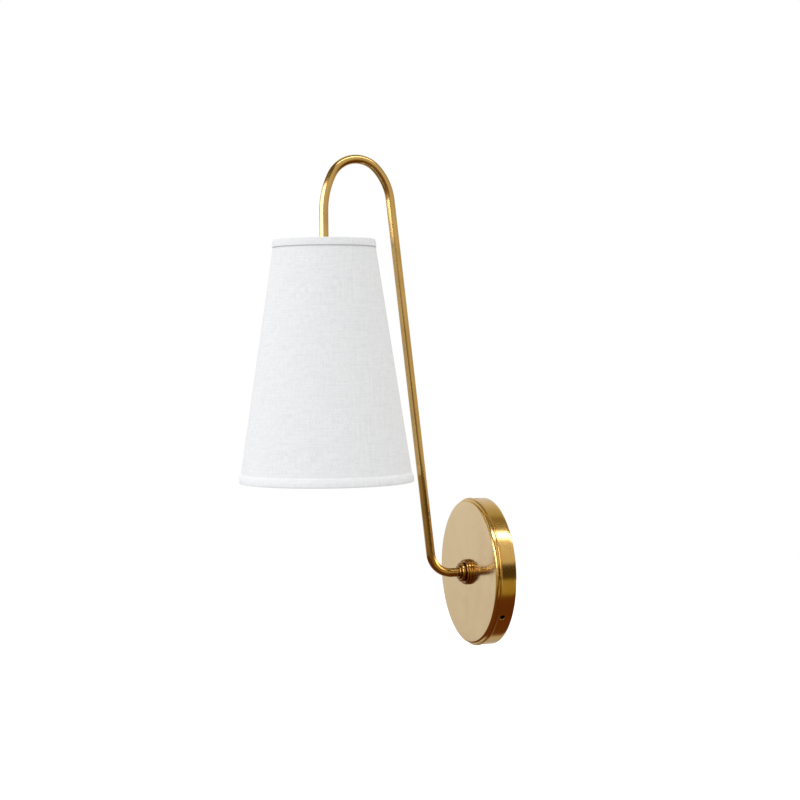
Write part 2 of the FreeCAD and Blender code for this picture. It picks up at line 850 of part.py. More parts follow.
# ---- lamp holder ----
def make_holder_cap():
    """A spun brass cap: a thick neck on the arm's thread, a dome and a skirt."""
    inner = bore(thread_clearance)
    dome_run = cap_radius - cap_neck_radius
    outer_middle = (cap_neck_radius + dome_fullness * dome_run, dome_top_z - dome_shoulder * cap_dome_height)
    inner_middle = (outer_middle[0] - dome_fullness * cap_wall, outer_middle[1] - cap_wall)
    return turned_on_shade([
        (inner, cap_top_z),
        (cap_neck_radius, cap_top_z),
        (cap_neck_radius, dome_top_z),
        (outer_middle, (cap_radius, skirt_top_z)),
        (cap_radius, skirt_bottom_z),
        (cap_radius - cap_wall, skirt_bottom_z),
        (cap_radius - cap_wall, skirt_top_z),
        (inner_middle, (cap_neck_radius, dome_top_z - cap_wall)),
        (inner, dome_top_z - cap_wall),
    ])


def make_holder_shell():
    """The outer shell, pushed up inside the cap's skirt, with a rolled lip at its mouth."""
    outer = shell_radius
    inner = outer - shell_wall
    foot = shell_bottom_z
    lip = shell_lip_radius
    return turned_on_shade([
        (inner, shell_top_z),
        (outer, shell_top_z),
        (outer, foot + 2 * lip),
        ((outer + lip, foot + lip), (outer, foot)),
        (inner, foot),
    ])


def make_sleeve():
    inner = sleeve_radius - sleeve_wall
    foot = shell_bottom_z + sleeve_short_of_lip
    return turned_on_shade([(inner, shell_top_z), (sleeve_radius, shell_top_z),
                            (sleeve_radius, foot), (inner, foot)])


def make_holder_body():
    """The moulded insulator, with a flat and a tapped seat for a terminal screw on each side."""
    radius = body_radius
    body = prism(small_sides, radius, body_length, shade_centre + UP * body_bottom_z, UP)
    flat_length = body_length - body_floor
    for side in (-1, 1):
        low_x = min(side * flat_distance, side * 2 * radius)
        corner = shade_centre + Vector(low_x, -radius, body_top_z - flat_length)
        body = body.cut(Part.makeBox(2 * radius - flat_distance, 2 * radius, flat_length, corner))
        body = body.cut(threaded(terminal_screw_radius, terminal_screw_length,
                                 terminal_spot(side, flat_distance), Vector(-side, 0, 0)))
    # the contact's rivet passes through the middle of the floor
    body = body.cut(threaded(contact_rivet_shank, body_length, rivet_spot(body_bottom_z), UP))
    return body


def terminal_spot(side, distance):
    """Beside the lead, which lies in the plane of the shade's axis."""
    aside = terminal_screw_radius + lead_radius + glue_gap
    return shade_centre + Vector(side * distance, aside, terminal_z)


def make_terminal_screw(side):
    under_head = flat_distance + 2 * lead_radius
    outward = Vector(side, 0, 0)
    seat = terminal_spot(side, under_head)
    shank = screw_bar(terminal_screw_radius, terminal_screw_length + 2 * lead_radius, seat, -outward)
    head = screw_bar(terminal_head_radius, terminal_head_height, seat, outward)
    slot_depth = 0.5 * terminal_head_height
    slot_corner = terminal_spot(side, under_head + (slot_depth if side > 0 else terminal_head_height))
    slot = Part.makeBox(terminal_head_height, terminal_slot_width, 2 * terminal_head_radius,
                        slot_corner - Vector(0, 0.5 * terminal_slot_width, terminal_head_radius))
    return joined(shank, head).cut(slot)


def make_screw_shell():
    """The threaded sleeve that takes the bulb, drawn plain, with the flange it is riveted by."""
    inner = (bulb_base_radius + bulb_base_clearance) / math.cos(math.pi / small_sides)
    outer = inner + screw_shell_wall
    top = body_bottom_z
    foot = top - screw_shell_length
    return turned_on_shade([
        (contact_hole_radius, top),
        (outer, top),
        (outer, foot),
        (inner, foot),
        (inner, top - screw_shell_wall),
        (contact_hole_radius, top - screw_shell_wall),
    ])


def rivet_spot(z):
    return shade_centre + Vector(-contact_rivet_offset, 0, z)


def make_centre_contact():
    """A springy brass strip, riveted at one end, that bears on the bulb's tip."""
    back = body_bottom_z
    low = contact_face_z + contact_strip_thickness
    reach = contact_strip_length - contact_rivet_offset - contact_rivet_radius
    start = -contact_rivet_offset - contact_rivet_radius
    knee = -contact_rivet_offset + contact_rivet_radius
    foot = -contact_strip_foot
    thick = contact_strip_thickness
    face = outline([
        (start, back),
        (knee, back),
        (foot, low),
        (reach, low),
        (reach, low - thick),
        (foot - contact_strip_lean, low - thick),
        (knee - contact_strip_lean, back - thick),
        (start, back - thick),
    ], lambda x, z: shade_centre + Vector(x, -0.5 * contact_strip_width, z))
    strip = face.extrude(Vector(0, contact_strip_width, 0))
    rivet = screw_bar(contact_rivet_shank, body_floor + thick, rivet_spot(back - thick), UP)
    upset = screw_bar(contact_rivet_radius, contact_rivet_height, rivet_spot(back - thick), -UP)
    return joined(strip, rivet, upset)


# ---- bulb ----
def make_bulb_base():
    """The bulb's screw base, drawn plain at its full diameter, curled in at the top."""
    outer = bulb_base_radius
    inner = outer - bulb_base_wall
    shoulder = base_top_z - bulb_base_curl
    return turned_on_shade([
        (inner, base_bottom_z),
        (outer, base_bottom_z),
        (outer, shoulder),
        (outer - bulb_base_curl, base_top_z),
        (inner - bulb_base_curl - bulb_base_wall, base_top_z),
        (inner - bulb_base_curl - bulb_base_wall, base_top_z - bulb_base_wall),
        (inner - bulb_base_wall, shoulder - bulb_base_wall),
        (inner, shoulder - bulb_base_wall),
    ])


def make_bulb_insulator():
    return turned_on_shade([(0, base_top_z), (bulb_base_radius - bulb_base_curl, base_top_z),
                            (bulb_shoulder_top_radius, shoulder_top_z), (0, shoulder_top_z)])


def make_bulb_tip():
    half = 0.5 * (shoulder_top_z + contact_face_z)
    return turned_on_shade([(0, shoulder_top_z), (bulb_tip_radius, shoulder_top_z), (bulb_tip_radius, half),
                            (bulb_tip_radius - bulb_tip_chamfer, contact_face_z), (0, contact_face_z)])


def glass_curve(neck, ball):
    """Where the straight neck meets the ball, and a point and the pole on the ball, as stations."""
    centre = base_bottom_z - bulb_glass_length + bulb_radius
    rise = base_bottom_z - centre
    distance = math.hypot(neck, rise)
    touch = math.atan2(rise, neck) - math.acos(ball / distance)
    below = (touch - math.pi / 2) / 2
    meeting = (ball * math.cos(touch), centre + ball * math.sin(touch))
    middle = (ball * math.cos(below), centre + ball * math.sin(below))
    return meeting, middle, (0, centre - ball)


def make_bulb_glass():
    meeting, middle, pole = glass_curve(bulb_neck_radius, bulb_radius)
    inner_neck = bulb_neck_radius - bulb_glass_wall
    inner_meeting, inner_middle, inner_pole = glass_curve(inner_neck, bulb_radius - bulb_glass_wall)
    top = base_bottom_z + bulb_neck_into_base
    return turned_on_shade([
        (inner_neck, top),
        (bulb_neck_radius, top),
        (bulb_neck_radius, base_bottom_z),
        meeting,
        (middle, pole),
        inner_pole,
        (inner_middle, inner_meeting),
        (inner_neck, base_bottom_z),
    ], small_sides, bulb_chords)


# ---- the whole light, one file for each piece ----
def nodes():
    return {
        "canopy": make_canopy(),
        "wall_bracket": make_wall_bracket(),
        "side_screws": make_side_screws(),
        "ground_screw": make_ground_screw(),
        "ground_wire": make_ground_wire(),
        "ground_lug": make_ground_lug(),
        "stem_lock_washer": make_lock_washer(),
        "stem_nut": make_stem_nut(),
        "collar_flange": make_seat_flange(),
        "collar_bead": make_bead_ring(),
        "collar_ferrule": make_ferrule(),
        "arm_tube": make_arm_tube(),
        "live_lead": make_lead(1, "live lead"),
        "neutral_lead": make_lead(-1, "neutral lead"),
        "shade_seat_nut": make_seat_nut(),
        "shade_retainer": make_retainer(),
        "holder_cap": make_holder_cap(),
        "holder_shell": make_holder_shell(),
        "holder_sleeve": make_sleeve(),
        "holder_body": make_holder_body(),
        "holder_screw_shell": make_screw_shell(),
        "holder_contact": make_centre_contact(),
        "live_terminal_screw": make_terminal_screw(1),
        "neutral_terminal_screw": make_terminal_screw(-1),
        "bulb_base": make_bulb_base(),
        "bulb_insulator": make_bulb_insulator(),
        "bulb_tip": make_bulb_tip(),
        "bulb_glass": make_bulb_glass(),
        "shade_linen": sheet_on_cone(0, linen_thickness),
        "shade_liner": sheet_on_cone(-linen_thickness - glue_gap, liner_thickness),
        "shade_top_band": make_top_band(),
        "shade_bottom_band": folded_band(from_bottom, bottom_band_height, inner_fold_height),
        "shade_top_ring": frame_ring(from_top),
        "shade_bottom_ring": frame_ring(from_bottom),
        "shade_spider": make_spider(),
    }


def main():
    os.makedirs("parts", exist_ok=True)
    for name, shape in nodes().items():
        if not shape.isValid():
            print(name, "is not a valid shape")
        shape.exportStep("parts/" + name + ".step")
        print(name, len(shape.Solids), round(shape.Volume, 2))


main()
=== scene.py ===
import math

import bmesh
import bpy
from mathutils import Matrix, Vector


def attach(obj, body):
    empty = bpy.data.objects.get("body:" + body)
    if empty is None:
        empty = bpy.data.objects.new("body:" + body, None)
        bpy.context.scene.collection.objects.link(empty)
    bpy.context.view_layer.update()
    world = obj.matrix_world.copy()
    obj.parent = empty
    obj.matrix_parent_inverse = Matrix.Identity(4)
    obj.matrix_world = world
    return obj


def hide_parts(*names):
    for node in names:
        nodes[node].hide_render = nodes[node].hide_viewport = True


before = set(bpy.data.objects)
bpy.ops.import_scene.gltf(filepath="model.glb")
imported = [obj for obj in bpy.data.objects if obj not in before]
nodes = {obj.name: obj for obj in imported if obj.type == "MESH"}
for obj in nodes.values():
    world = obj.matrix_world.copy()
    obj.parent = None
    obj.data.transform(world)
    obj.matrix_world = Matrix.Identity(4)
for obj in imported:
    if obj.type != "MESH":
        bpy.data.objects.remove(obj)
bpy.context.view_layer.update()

mm = 0.001
up = Vector((0, 0, 1))
intoWall = Vector((0, 1, 0))
toRoom = -intoWall

# the light's own sizes, in millimetres, as the solids have them
canopySizes = {
    "depth": 18.5, "wall": 1.4, "rim": 66.1, "face": 63.3, "beadProud": 0.575, "beadHalf": 0.72,
    "beadBehind": 4.35, "ovoloInset": 0.75, "holeHeight": 9.2, "holeAngles": (90, -32, 212),
    "hole": 2.3, "sink": 0.45,
}
armSizes = {
    "tube": 3.97, "wall": 0.95, "start": 9.8, "stemRun": 16.4, "stemBend": 19.8, "topZ": 369.6,
    "reach": 152.4, "crown": 25.8, "crownRoom": 63.5, "crownWall": 46.3, "roomShoulder": 71.4,
    "wallShoulder": 47.7, "endZ": 270.9,
}
shadeSizes = {
    "bottomZ": 86.0, "height": 212.4, "bottom": 76.3, "top": 44.0, "linen": 0.5, "liner": 0.45,
    "cloth": 0.55, "topBand": 6.6, "bottomBand": 8.0, "fold": 9.0, "glue": 0.05, "wire": 1.2,
}
shadeCentre = Vector((0, -armSizes["reach"], 0))


# materials: sockets that add up
class Value:
    # one output socket; arithmetic on it adds Math nodes
    def __init__(self, finish, socket):
        self.finish = finish
        self.socket = socket

    def math(self, operation, *terms):
        return self.finish.add("ShaderNodeMath", {"operation": operation}, dict(enumerate(terms)))

    def __add__(self, other):
        return self.math("ADD", self, other)

    def __sub__(self, other):
        return self.math("SUBTRACT", self, other)

    def __rsub__(self, other):
        return self.math("SUBTRACT", other, self)

    def __mul__(self, other):
        return self.math("MULTIPLY", self, other)

    def __truediv__(self, other):
        return self.math("DIVIDE", self, other)

    def __pow__(self, other):
        return self.math("POWER", self, other)

    def __abs__(self):
        return self.math("ABSOLUTE", self)

    __radd__ = __add__
    __rmul__ = __mul__

    def sine(self):
        return self.math("SINE", self)

    def angleTo(self, other):
        return self.math("ARCTAN2", self, other)

    def most(self, other):
        return self.math("MAXIMUM", self, other)

    def rise(self, low, high):
        # 0 below low, 1 above high, smooth between
        return self.finish.add("ShaderNodeMapRange", {"interpolation_type": "SMOOTHSTEP"},
                               {"Value": self, "From Min": low, "From Max": high})


class Finish:
    # a node tree in the making, for a material or for the studio's light
    def __init__(self, tree):
        self.tree = tree

    def add(self, kind, settings=None, values=None, output=0):
        node = self.tree.nodes.new(kind)
        for name, setting in (settings or {}).items():
            if name == "stops":
                self.setStops(node, setting)
            else:
                setattr(node, name, setting)
        for name, value in (values or {}).items():
            self.feed(node.inputs[name], value)
        return Value(self, node.outputs[output])

    def feed(self, socket, value):
        if isinstance(value, Value):
            self.tree.links.new(value.socket, socket)
        else:
            socket.default_value = value

    def setStops(self, node, stops):
        ramp = node.color_ramp
        while len(ramp.elements) < len(stops):
            ramp.elements.new(0.5)
        for element, (place, colour) in zip(ramp.elements, stops):
            element.position = place
            element.color = (*colour, 1)

    def place(self, output="Object"):
        return self.add("ShaderNodeTexCoord", output=output)

    def split(self, vector):
        node = self.tree.nodes.new("ShaderNodeSeparateXYZ")
        self.feed(node.inputs[0], vector)
        return [Value(self, socket) for socket in node.outputs]

    def point(self, x, y, z):
        return self.add("ShaderNodeCombineXYZ", values={"X": x, "Y": y, "Z": z})

    def stretched(self, vector, x, y, z):
        return self.add("ShaderNodeVectorMath", {"operation": "MULTIPLY"}, {0: vector, 1: (x, y, z)})

    def noise(self, vector, scale, detail=4.0, roughness=0.55, distortion=0.0):
        return self.add("ShaderNodeTexNoise", values={
            "Vector": vector, "Scale": scale, "Detail": detail, "Roughness": roughness,
            "Distortion": distortion})

    def mixed(self, first, second, factor):
        node = self.tree.nodes.new("ShaderNodeMix")
        node.data_type = "RGBA"
        self.feed(node.inputs[0], factor)
        for number, colour in ((6, first), (7, second)):
            self.feed(node.inputs[number], colour if isinstance(colour, Value) else (*colour, 1))
        return Value(self, node.outputs[2])

    def bump(self, height, distance, strength):
        return self.add("ShaderNodeBump", values={"Height": height, "Distance": distance,
                                                  "Strength": strength})


def newMaterial(name, plain, varying):
    # plain holds the sockets' own values; varying makes the ones that change over the surface
    material = bpy.data.materials.new(name)
    material.use_nodes = True
    finish = Finish(material.node_tree)
    shader = material.node_tree.nodes["Principled BSDF"]
    for socket, value in plain.items():
        shader.inputs[socket].default_value = value
    for socket, value in varying(finish).items():
        finish.feed(shader.inputs[socket], value)
    return material


# the stain colour serves real stain spots and painted shade in grooves; the 0.85 sets how strongly shade
# is painted into the grooves
brassLook = {
    "stainAndGrooveShade": (0.24, 0.115, 0.028), "blotchScale": 26.0, "speckScale": 420.0, "cloudScale": 9.0,
    "duller": 75.0, "relief": 0.00002, "marks": 2600.0, "grooveShade": 0.85,
}


def brassOf(name, pale, deep, roughness, stains, spin=None, grain=None, shadedGrooves=(), relief=0.12):
    # spin is "y" or "z", the axis that a turned piece's tool marks run round;
    # grooves are places along that axis, with half widths in mm, painted darker in the stain colour:
    # painted shade in the hollows
    def varying(finish):
        look = brassLook
        where = finish.place()
        blotch = finish.noise(where, look["blotchScale"], 5, 0.6, 0.4)
        speck = finish.noise(where, look["speckScale"], 3, 0.5)
        cloud = finish.noise(where, look["cloudScale"], 3, 0.5, 1.2)
        tarnish = blotch.rise(0.42, 0.78) * 0.6 + cloud.rise(0.4, 0.75) * 0.4
        colour = finish.mixed(pale, deep, tarnish)
        spots = speck.rise(0.66, 0.8) * blotch.rise(0.45, 0.7) * stains
        colour = finish.mixed(colour, look["stainAndGrooveShade"], spots)
        height = speck * 0.35 + blotch * 0.25
        if spin:
            x, y, z = finish.split(where)
            if spin == "z":
                y = y + armSizes["reach"] * mm
                radius = (x * x + y * y) ** 0.5
                along = z
            else:
                radius = (x * x + z * z) ** 0.5
                along = y
            rings = finish.noise(finish.point(radius, along, 0.0), look["marks"], 2, 0.6)
            height = height + rings * 0.5
            # darker towards each groove's middle: painted shade in the hollow
            for middle, half in shadedGrooves:
                away = abs(along - middle * mm)
                grooveShade = (1 - away.rise(0.2 * half * mm, half * mm)) * look["grooveShade"]
                colour = finish.mixed(colour, look["stainAndGrooveShade"], grooveShade)
        if grain:
            height = height + finish.noise(finish.stretched(where, *grain), 900.0, 3, 0.6) * 0.5
        dull = roughness + tarnish * 0.07 + spots * 0.25
        return {"Base Color": colour, "Normal": finish.bump(height, look["relief"], relief),
                "Roughness": dull + finish.noise(where, look["duller"], 4, 0.65) * 0.05}
    return newMaterial(name, {"Metallic": 1.0, "Coat Weight": 0.1, "Coat Roughness": 0.12}, varying)


faceBrass = brassOf("canopy_face_brass", (0.86, 0.68, 0.43), (0.75, 0.56, 0.33), 0.12, 0.2)
rimBrass = brassOf("canopy_rim_brass", (0.75, 0.51, 0.19), (0.64, 0.41, 0.13), 0.12, 0.35, "y")
armBrass = brassOf("arm_brass", (0.67, 0.455, 0.185), (0.43, 0.27, 0.085), 0.14, 0.9, None, (1, 1, 0.05),
                   relief=0.03)
# the collar's brass is painted darker than the arm's, and darker still in its grooves: painted shade
collarShadedGrooves = ((-18.5, 0.5), (-21.3, 0.7), (-23.3, 0.8), (-26.8, 0.7), (-28.5, 0.4))
collarShadedBrass = brassOf("collar_shaded_brass", (0.58, 0.36, 0.115), (0.34, 0.175, 0.04), 0.09, 0.5, "y",
                      shadedGrooves=collarShadedGrooves, relief=0.06)
# near-black brass for the bores of the side holes: painted shade
boreShadeBrass = brassOf("bore_painted_shade", (0.10, 0.055, 0.018), (0.04, 0.022, 0.008), 0.5, 0.5)
fittingBrass = brassOf("fitting_brass", (0.80, 0.62, 0.30), (0.64, 0.44, 0.17), 0.2, 0.1, "z")


def steelOf(name, colour, roughness, stained):
    def varying(finish):
        where = finish.place()
        crystals = finish.add("ShaderNodeTexVoronoi", {"feature": "F1"},
                              {"Vector": where, "Scale": 260.0}, "Color")
        flake = finish.split(crystals)[0]
        haze = finish.noise(where, 60.0, 4, 0.6)
        dark = tuple(part * 0.62 for part in colour)
        flaked = finish.mixed(dark, colour, flake)
        return {"Base Color": finish.mixed(flaked, stained, haze.rise(0.6, 0.8)),
                "Roughness": roughness + haze * 0.18,
                "Normal": finish.bump(haze, 0.00003, 0.3)}
    return newMaterial(name, {"Metallic": 1.0}, varying)


zincSteel = steelOf("zinc_plate", (0.62, 0.64, 0.66), 0.28, (0.5, 0.48, 0.42))
blackSteel = steelOf("black_screw", (0.035, 0.033, 0.03), 0.4, (0.05, 0.04, 0.03))
bareCopper = steelOf("bare_copper", (0.72, 0.36, 0.2), 0.25, (0.4, 0.2, 0.1))
bulbMetal = steelOf("bulb_nickel", (0.72, 0.71, 0.68), 0.24, (0.6, 0.58, 0.54))


def mouldedOf(name, colour, roughness, coarse=300.0):
    def varying(finish):
        where = finish.place()
        pores = finish.noise(where, coarse, 4, 0.6)
        patch = finish.noise(where, 22.0, 3, 0.5)
        darker = tuple(part * 0.8 for part in colour)
        return {"Base Color": finish.mixed(darker, colour, patch.rise(0.3, 0.7)),
                "Roughness": roughness + pores * 0.12,
                "Normal": finish.bump(pores, 0.00006, 0.35)}
    return newMaterial(name, {}, varying)


liveCover = mouldedOf("black_lead_cover", (0.025, 0.025, 0.026), 0.42)
neutralCover = mouldedOf("white_lead_cover", (0.80, 0.80, 0.77), 0.42)
darkInsulator = mouldedOf("moulded_insulator", (0.035, 0.03, 0.027), 0.32)
fibreSleeve = mouldedOf("paper_fibre", (0.36, 0.26, 0.17), 0.8, 900.0)
bulbBlack = mouldedOf("bulb_insulator_glass", (0.012, 0.012, 0.014), 0.12)
frameWhite = mouldedOf("coated_wire", (0.84, 0.83, 0.79), 0.38)

# the mid grey in this table colours a painted line of shade under the top band
clothLook = {
    "colour": (0.90, 0.90, 0.90), "shadow": (0.775, 0.78, 0.785), "slub": (0.93, 0.93, 0.925),
    "paintedShadeLine": (0.50, 0.50, 0.50), "threads": 1900.0, "relief": 0.0002,
}


def linenOf(name, paintedLightLevel, paintedShadeLine=None):
    # warp and weft from the sheet's own flat measures, in metres, with slubs along both
    def varying(finish):
        flat = finish.place("UV")
        u, v, _ = finish.split(flat)
        drift = finish.noise(flat, 70.0, 3, 0.6) * 0.0012
        warp = ((u + drift) * (clothLook["threads"] * 2 * math.pi)).sine() * 0.5 + 0.5
        weft = ((v + drift) * (clothLook["threads"] * 1.9 * math.pi)).sine() * 0.5 + 0.5
        slubUp = finish.noise(finish.point(u * 900.0, v * 34.0, 0.0), 1.0, 4, 0.7)
        slubAcross = finish.noise(finish.point(u * 40.0, v * 1000.0, 7.0), 1.0, 4, 0.7)
        grainy = finish.noise(flat, 1150.0, 3, 0.75)
        mottle = finish.noise(flat, 210.0, 4, 0.7)
        weave = warp * weft
        tone = (weave * 0.15 + slubUp.rise(0.3, 0.72) * 0.27 + slubAcross.rise(0.3, 0.72) * 0.23
                + grainy.rise(0.3, 0.7) * 0.2 + mottle.rise(0.3, 0.7) * 0.15)
        colour = finish.mixed(clothLook["shadow"], clothLook["colour"], tone.rise(0.1, 0.66))
        thick = slubUp.rise(0.66, 0.85).most(slubAcross.rise(0.66, 0.85))
        colour = finish.mixed(colour, clothLook["slub"], thick * 0.6)
        # the cloth's colour scaled by a painted light level
        colour = finish.add("ShaderNodeVectorMath", {"operation": "SCALE"},
                            {"Vector": colour, "Scale": paintedLightLevel})
        if paintedShadeLine:
            # a painted line of shade along the band's lower edge, where the glue runs, in metres down
            # the sheet
            first, last = paintedShadeLine
            line = v.rise(first - 0.0002, first) * (1 - v.rise(last - 0.0004, last + 0.0004))
            colour = finish.mixed(colour, clothLook["paintedShadeLine"], line * 0.75)
        height = weave * 0.4 + slubUp * 0.5 + slubAcross * 0.5 + grainy * 0.3
        return {"Base Color": colour, "Roughness": 0.86 + grainy * 0.1,
                "Normal": finish.bump(height, clothLook["relief"], 0.55)}
    return newMaterial(name, {"Sheen Weight": 0.12, "Sheen Roughness": 0.5,
                              "Specular IOR Level": 0.2}, varying)


bandFoot = shadeSizes["topBand"] * mm
# the main sheet carries the painted line of shade just under the top band
shadeLinen = linenOf("shade_linen_cloth", 1.0, (bandFoot, bandFoot + 0.001))
# the top band and the hem are the same linen painted a little darker and a little lighter: painted shade
# and painted light
topBandLinen = linenOf("shade_top_band_linen", 0.985)
hemLinen = linenOf("shade_hem_linen", 1.035)


def makeLinerMaterial():
    def varying(finish):
        where = finish.place()
        fibre = finish.noise(finish.stretched(where, 1, 1, 0.3), 160.0, 4, 0.6)
        colour = finish.mixed((0.84, 0.83, 0.80), (0.90, 0.89, 0.87), fibre.rise(0.3, 0.7))
        return {"Base Color": colour, "Roughness": 0.5 + fibre * 0.15,
                "Normal": finish.bump(fibre, 0.00003, 0.2)}
    return newMaterial("shade_liner_sheet", {}, varying)


linerSheet = makeLinerMaterial()


def makeFrosted():
    def varying(finish):
        where = finish.place()
        frost = finish.noise(where, 900.0, 3, 0.6)
        cloud = finish.noise(where, 30.0, 2, 0.5)
        return {"Base Color": finish.mixed((0.86, 0.86, 0.83), (0.93, 0.93, 0.91), cloud),
                "Roughness": 0.3 + frost * 0.12, "Normal": finish.bump(frost, 0.00002, 0.2)}
    return newMaterial("frosted_bulb", {"Coat Weight": 0.4, "Coat Roughness": 0.25}, varying)


frostedGlass = makeFrosted()
print("materials ready")


# shaping
def rounded(corners, steps=4):
    # corners are (radius, along, fillet) in mm; a corner with a fillet becomes a short curve
    points = []
    for number, (radius, along, fillet) in enumerate(corners):
        here = Vector((radius, along))
        if fillet == 0:
            points.append(here)
            continue
        before = Vector(corners[number - 1][:2]) - here
        after = Vector(corners[(number + 1) % len(corners)][:2]) - here
        reach = fillet / math.tan(before.angle(after) / 2)
        reach = min(reach, before.length * 0.48, after.length * 0.48)
        start = here + before.normalized() * reach
        end = here + after.normalized() * reach
        for step in range(steps + 1):
            t = step / steps
            points.append(start * (1 - t) ** 2 + here * (2 * t * (1 - t)) + end * t ** 2)
    return points


def arcPoints(centre, radius, first, last, steps):
    # points of a circle in the profile's plane, angles in degrees
    points = []
    for step in range(steps + 1):
        angle = math.radians(first + (last - first) * step / steps)
        out = centre[0] + radius * math.cos(angle)
        points.append(Vector((out, centre[1] + radius * math.sin(angle))))
    return points


def finishMesh(name, bm, material, body, replaced=(), sharp=32):
    bmesh.ops.remove_doubles(bm, verts=bm.verts, dist=1e-7)
    bmesh.ops.recalc_face_normals(bm, faces=bm.faces)
    for face in bm.faces:
        face.smooth = True
    for edge in bm.edges:
        edge.smooth = len(edge.link_faces) == 2 and edge.calc_face_angle(0) < math.radians(sharp)
    mesh = bpy.data.meshes.new(name)
    bm.to_mesh(mesh)
    bm.free()
    mesh.materials.append(material)
    piece = bpy.data.objects.new(name, mesh)
    bpy.context.scene.collection.objects.link(piece)
    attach(piece, body)
    if replaced:
        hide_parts(*replaced)
    return piece


def onStem(radius, along, angle):
    return Vector((radius * math.cos(angle), -along, radius * math.sin(angle))) * mm


def onShade(radius, along, angle):
    return (shadeCentre + Vector((radius * math.cos(angle), radius * math.sin(angle), along))) * mm


def turnedMesh(profile, sides, place, wobble=None):
    # a lathe with its own flat measures as UVs; wobble(angle, number) moves a point out, in mm
    bm = bmesh.new()
    flat = bm.loops.layers.uv.new("flat")
    rings = []
    for number, (radius, along) in enumerate(profile):
        if radius < 1e-4:
            rings.append([bm.verts.new(place(0, along, 0))] * sides)
            continue
        ring = []
        for side in range(sides):
            angle = 2 * math.pi * side / sides
            out = wobble(angle, number) if wobble else 0
            ring.append(bm.verts.new(place(radius + out, along, angle)))
        rings.append(ring)
    run = [0.0]
    for here, there in zip(profile, profile[1:] + profile[:1]):
        run.append(run[-1] + (Vector(there) - Vector(here)).length)
    for number in range(len(profile)):
        following = (number + 1) % len(profile)
        around = math.pi * (profile[number][0] + profile[following][0]) * mm
        for side in range(sides):
            beyond = (side + 1) % sides
            corners = [(rings[number][side], side, 0), (rings[number][beyond], side + 1, 0),
                       (rings[following][beyond], side + 1, 1), (rings[following][side], side, 1)]
            corners = [corner for count, corner in enumerate(corners)
                       if corner[0] is not corners[count - 1][0]]
            if len(corners) < 3:
                continue
            face = bm.faces.new([corner[0] for corner in corners])
            for loop, (_, turn, step) in zip(face.loops, corners):
                loop[flat].uv = (turn / sides * around, run[number + step] * mm)
    return bm


def turned(name, profile, material, body, place=onShade, sides=96, wobble=None,
           replaced=(), sharp=32):
    bm = turnedMesh([tuple(point) for point in profile], sides, place, wobble)
    return finishMesh(name, bm, material, body, replaced, sharp)


def joinRings(bm, first, second):
    for number in range(len(first)):
        beyond = (number + 1) % len(first)
        bm.faces.new([first[number], first[beyond], second[beyond], second[number]])


def travelled(start, heading, moves, arcStep=3.0, runStep=8.0):
    # straight runs and tangent arcs as close points: ("run", length), ("turn", side, radius, degrees)
    points = [Vector(start)]
    heading = Vector(heading).normalized()
    for move in moves:
        here = points[-1]
        if move[0] == "run":
            count = max(1, round(move[1] / runStep))
            points += [here + heading * (move[1] * step / count) for step in range(1, count + 1)]
            continue
        _, side, radius, degrees = move
        side = Vector(side)
        side = (side - heading * side.dot(heading)).normalized()
        centre = here + side * radius
        count = max(2, round(degrees / arcStep))
        for step in range(1, count + 1):
            angle = math.radians(degrees * step / count)
            ahead = heading * (radius * math.sin(angle))
            points.append(centre - side * (radius * math.cos(angle)) + ahead)
        angle = math.radians(degrees)
        heading = heading * math.cos(angle) + side * math.sin(angle)
    return points


def sweptMesh(points, radius, sides, hollow=0.0):
    # a round bar along close points, or a tube when hollow is its inner radius
    bm = bmesh.new()
    flat = bm.loops.layers.uv.new("flat")
    count = len(points)
    tangents = []
    for number in range(count):
        before = points[max(number - 1, 0)]
        after = points[min(number + 1, count - 1)]
        tangents.append((after - before).normalized())
    side = tangents[0].orthogonal().normalized()
    layers = {layer: [] for layer in ([radius, hollow] if hollow else [radius])}
    for number, (point, tangent) in enumerate(zip(points, tangents)):
        side = (side - tangent * side.dot(tangent)).normalized()
        other = tangent.cross(side)
        for layer, rings in layers.items():
            ring = []
            for step in range(sides):
                angle = 2 * math.pi * step / sides
                offset = side * math.cos(angle) + other * math.sin(angle)
                ring.append(bm.verts.new((point + offset * layer) * mm))
            rings.append(ring)
    for layer, rings in layers.items():
        run = 0.0
        for number in range(count - 1):
            step = (points[number + 1] - points[number]).length * mm
            for turn in range(sides):
                beyond = (turn + 1) % sides
                face = bm.faces.new([rings[number][turn], rings[number][beyond],
                                     rings[number + 1][beyond], rings[number + 1][turn]])
                places = [(turn, run), (turn + 1, run), (turn + 1, run + step), (turn, run + step)]
                for loop, (around, along) in zip(face.loops, places):
                    loop[flat].uv = (around / sides * 2 * math.pi * layer * mm, along)
            run += step
    for end in (0, count - 1):
        rings = [layer[end] for layer in layers.values()]
        if hollow:
            joinRings(bm, *rings)
        else:
            bm.faces.new(rings[0])
    return bm


def swept(name, points, radius, material, body, sides=24, hollow=0.0, replaced=()):
    bm = sweptMesh(points, radius, sides, hollow)
    return finishMesh(name, bm, material, body, replaced, 40)


def cutWith(piece, cutter):
    # takes the cutter out of the piece for good
    cut = piece.modifiers.new("cut", "BOOLEAN")
    cut.operation = "DIFFERENCE"
    cut.solver = "EXACT"
    cut.object = cutter
    bpy.context.view_layer.update()
    seen = piece.evaluated_get(bpy.context.evaluated_depsgraph_get())
    mesh = bpy.data.meshes.new_from_object(seen)
    piece.modifiers.clear()
    piece.data = mesh
    bpy.data.objects.remove(cutter)


def rimDirection(angle):
    return Vector((math.cos(math.radians(angle)), 0, math.sin(math.radians(angle))))


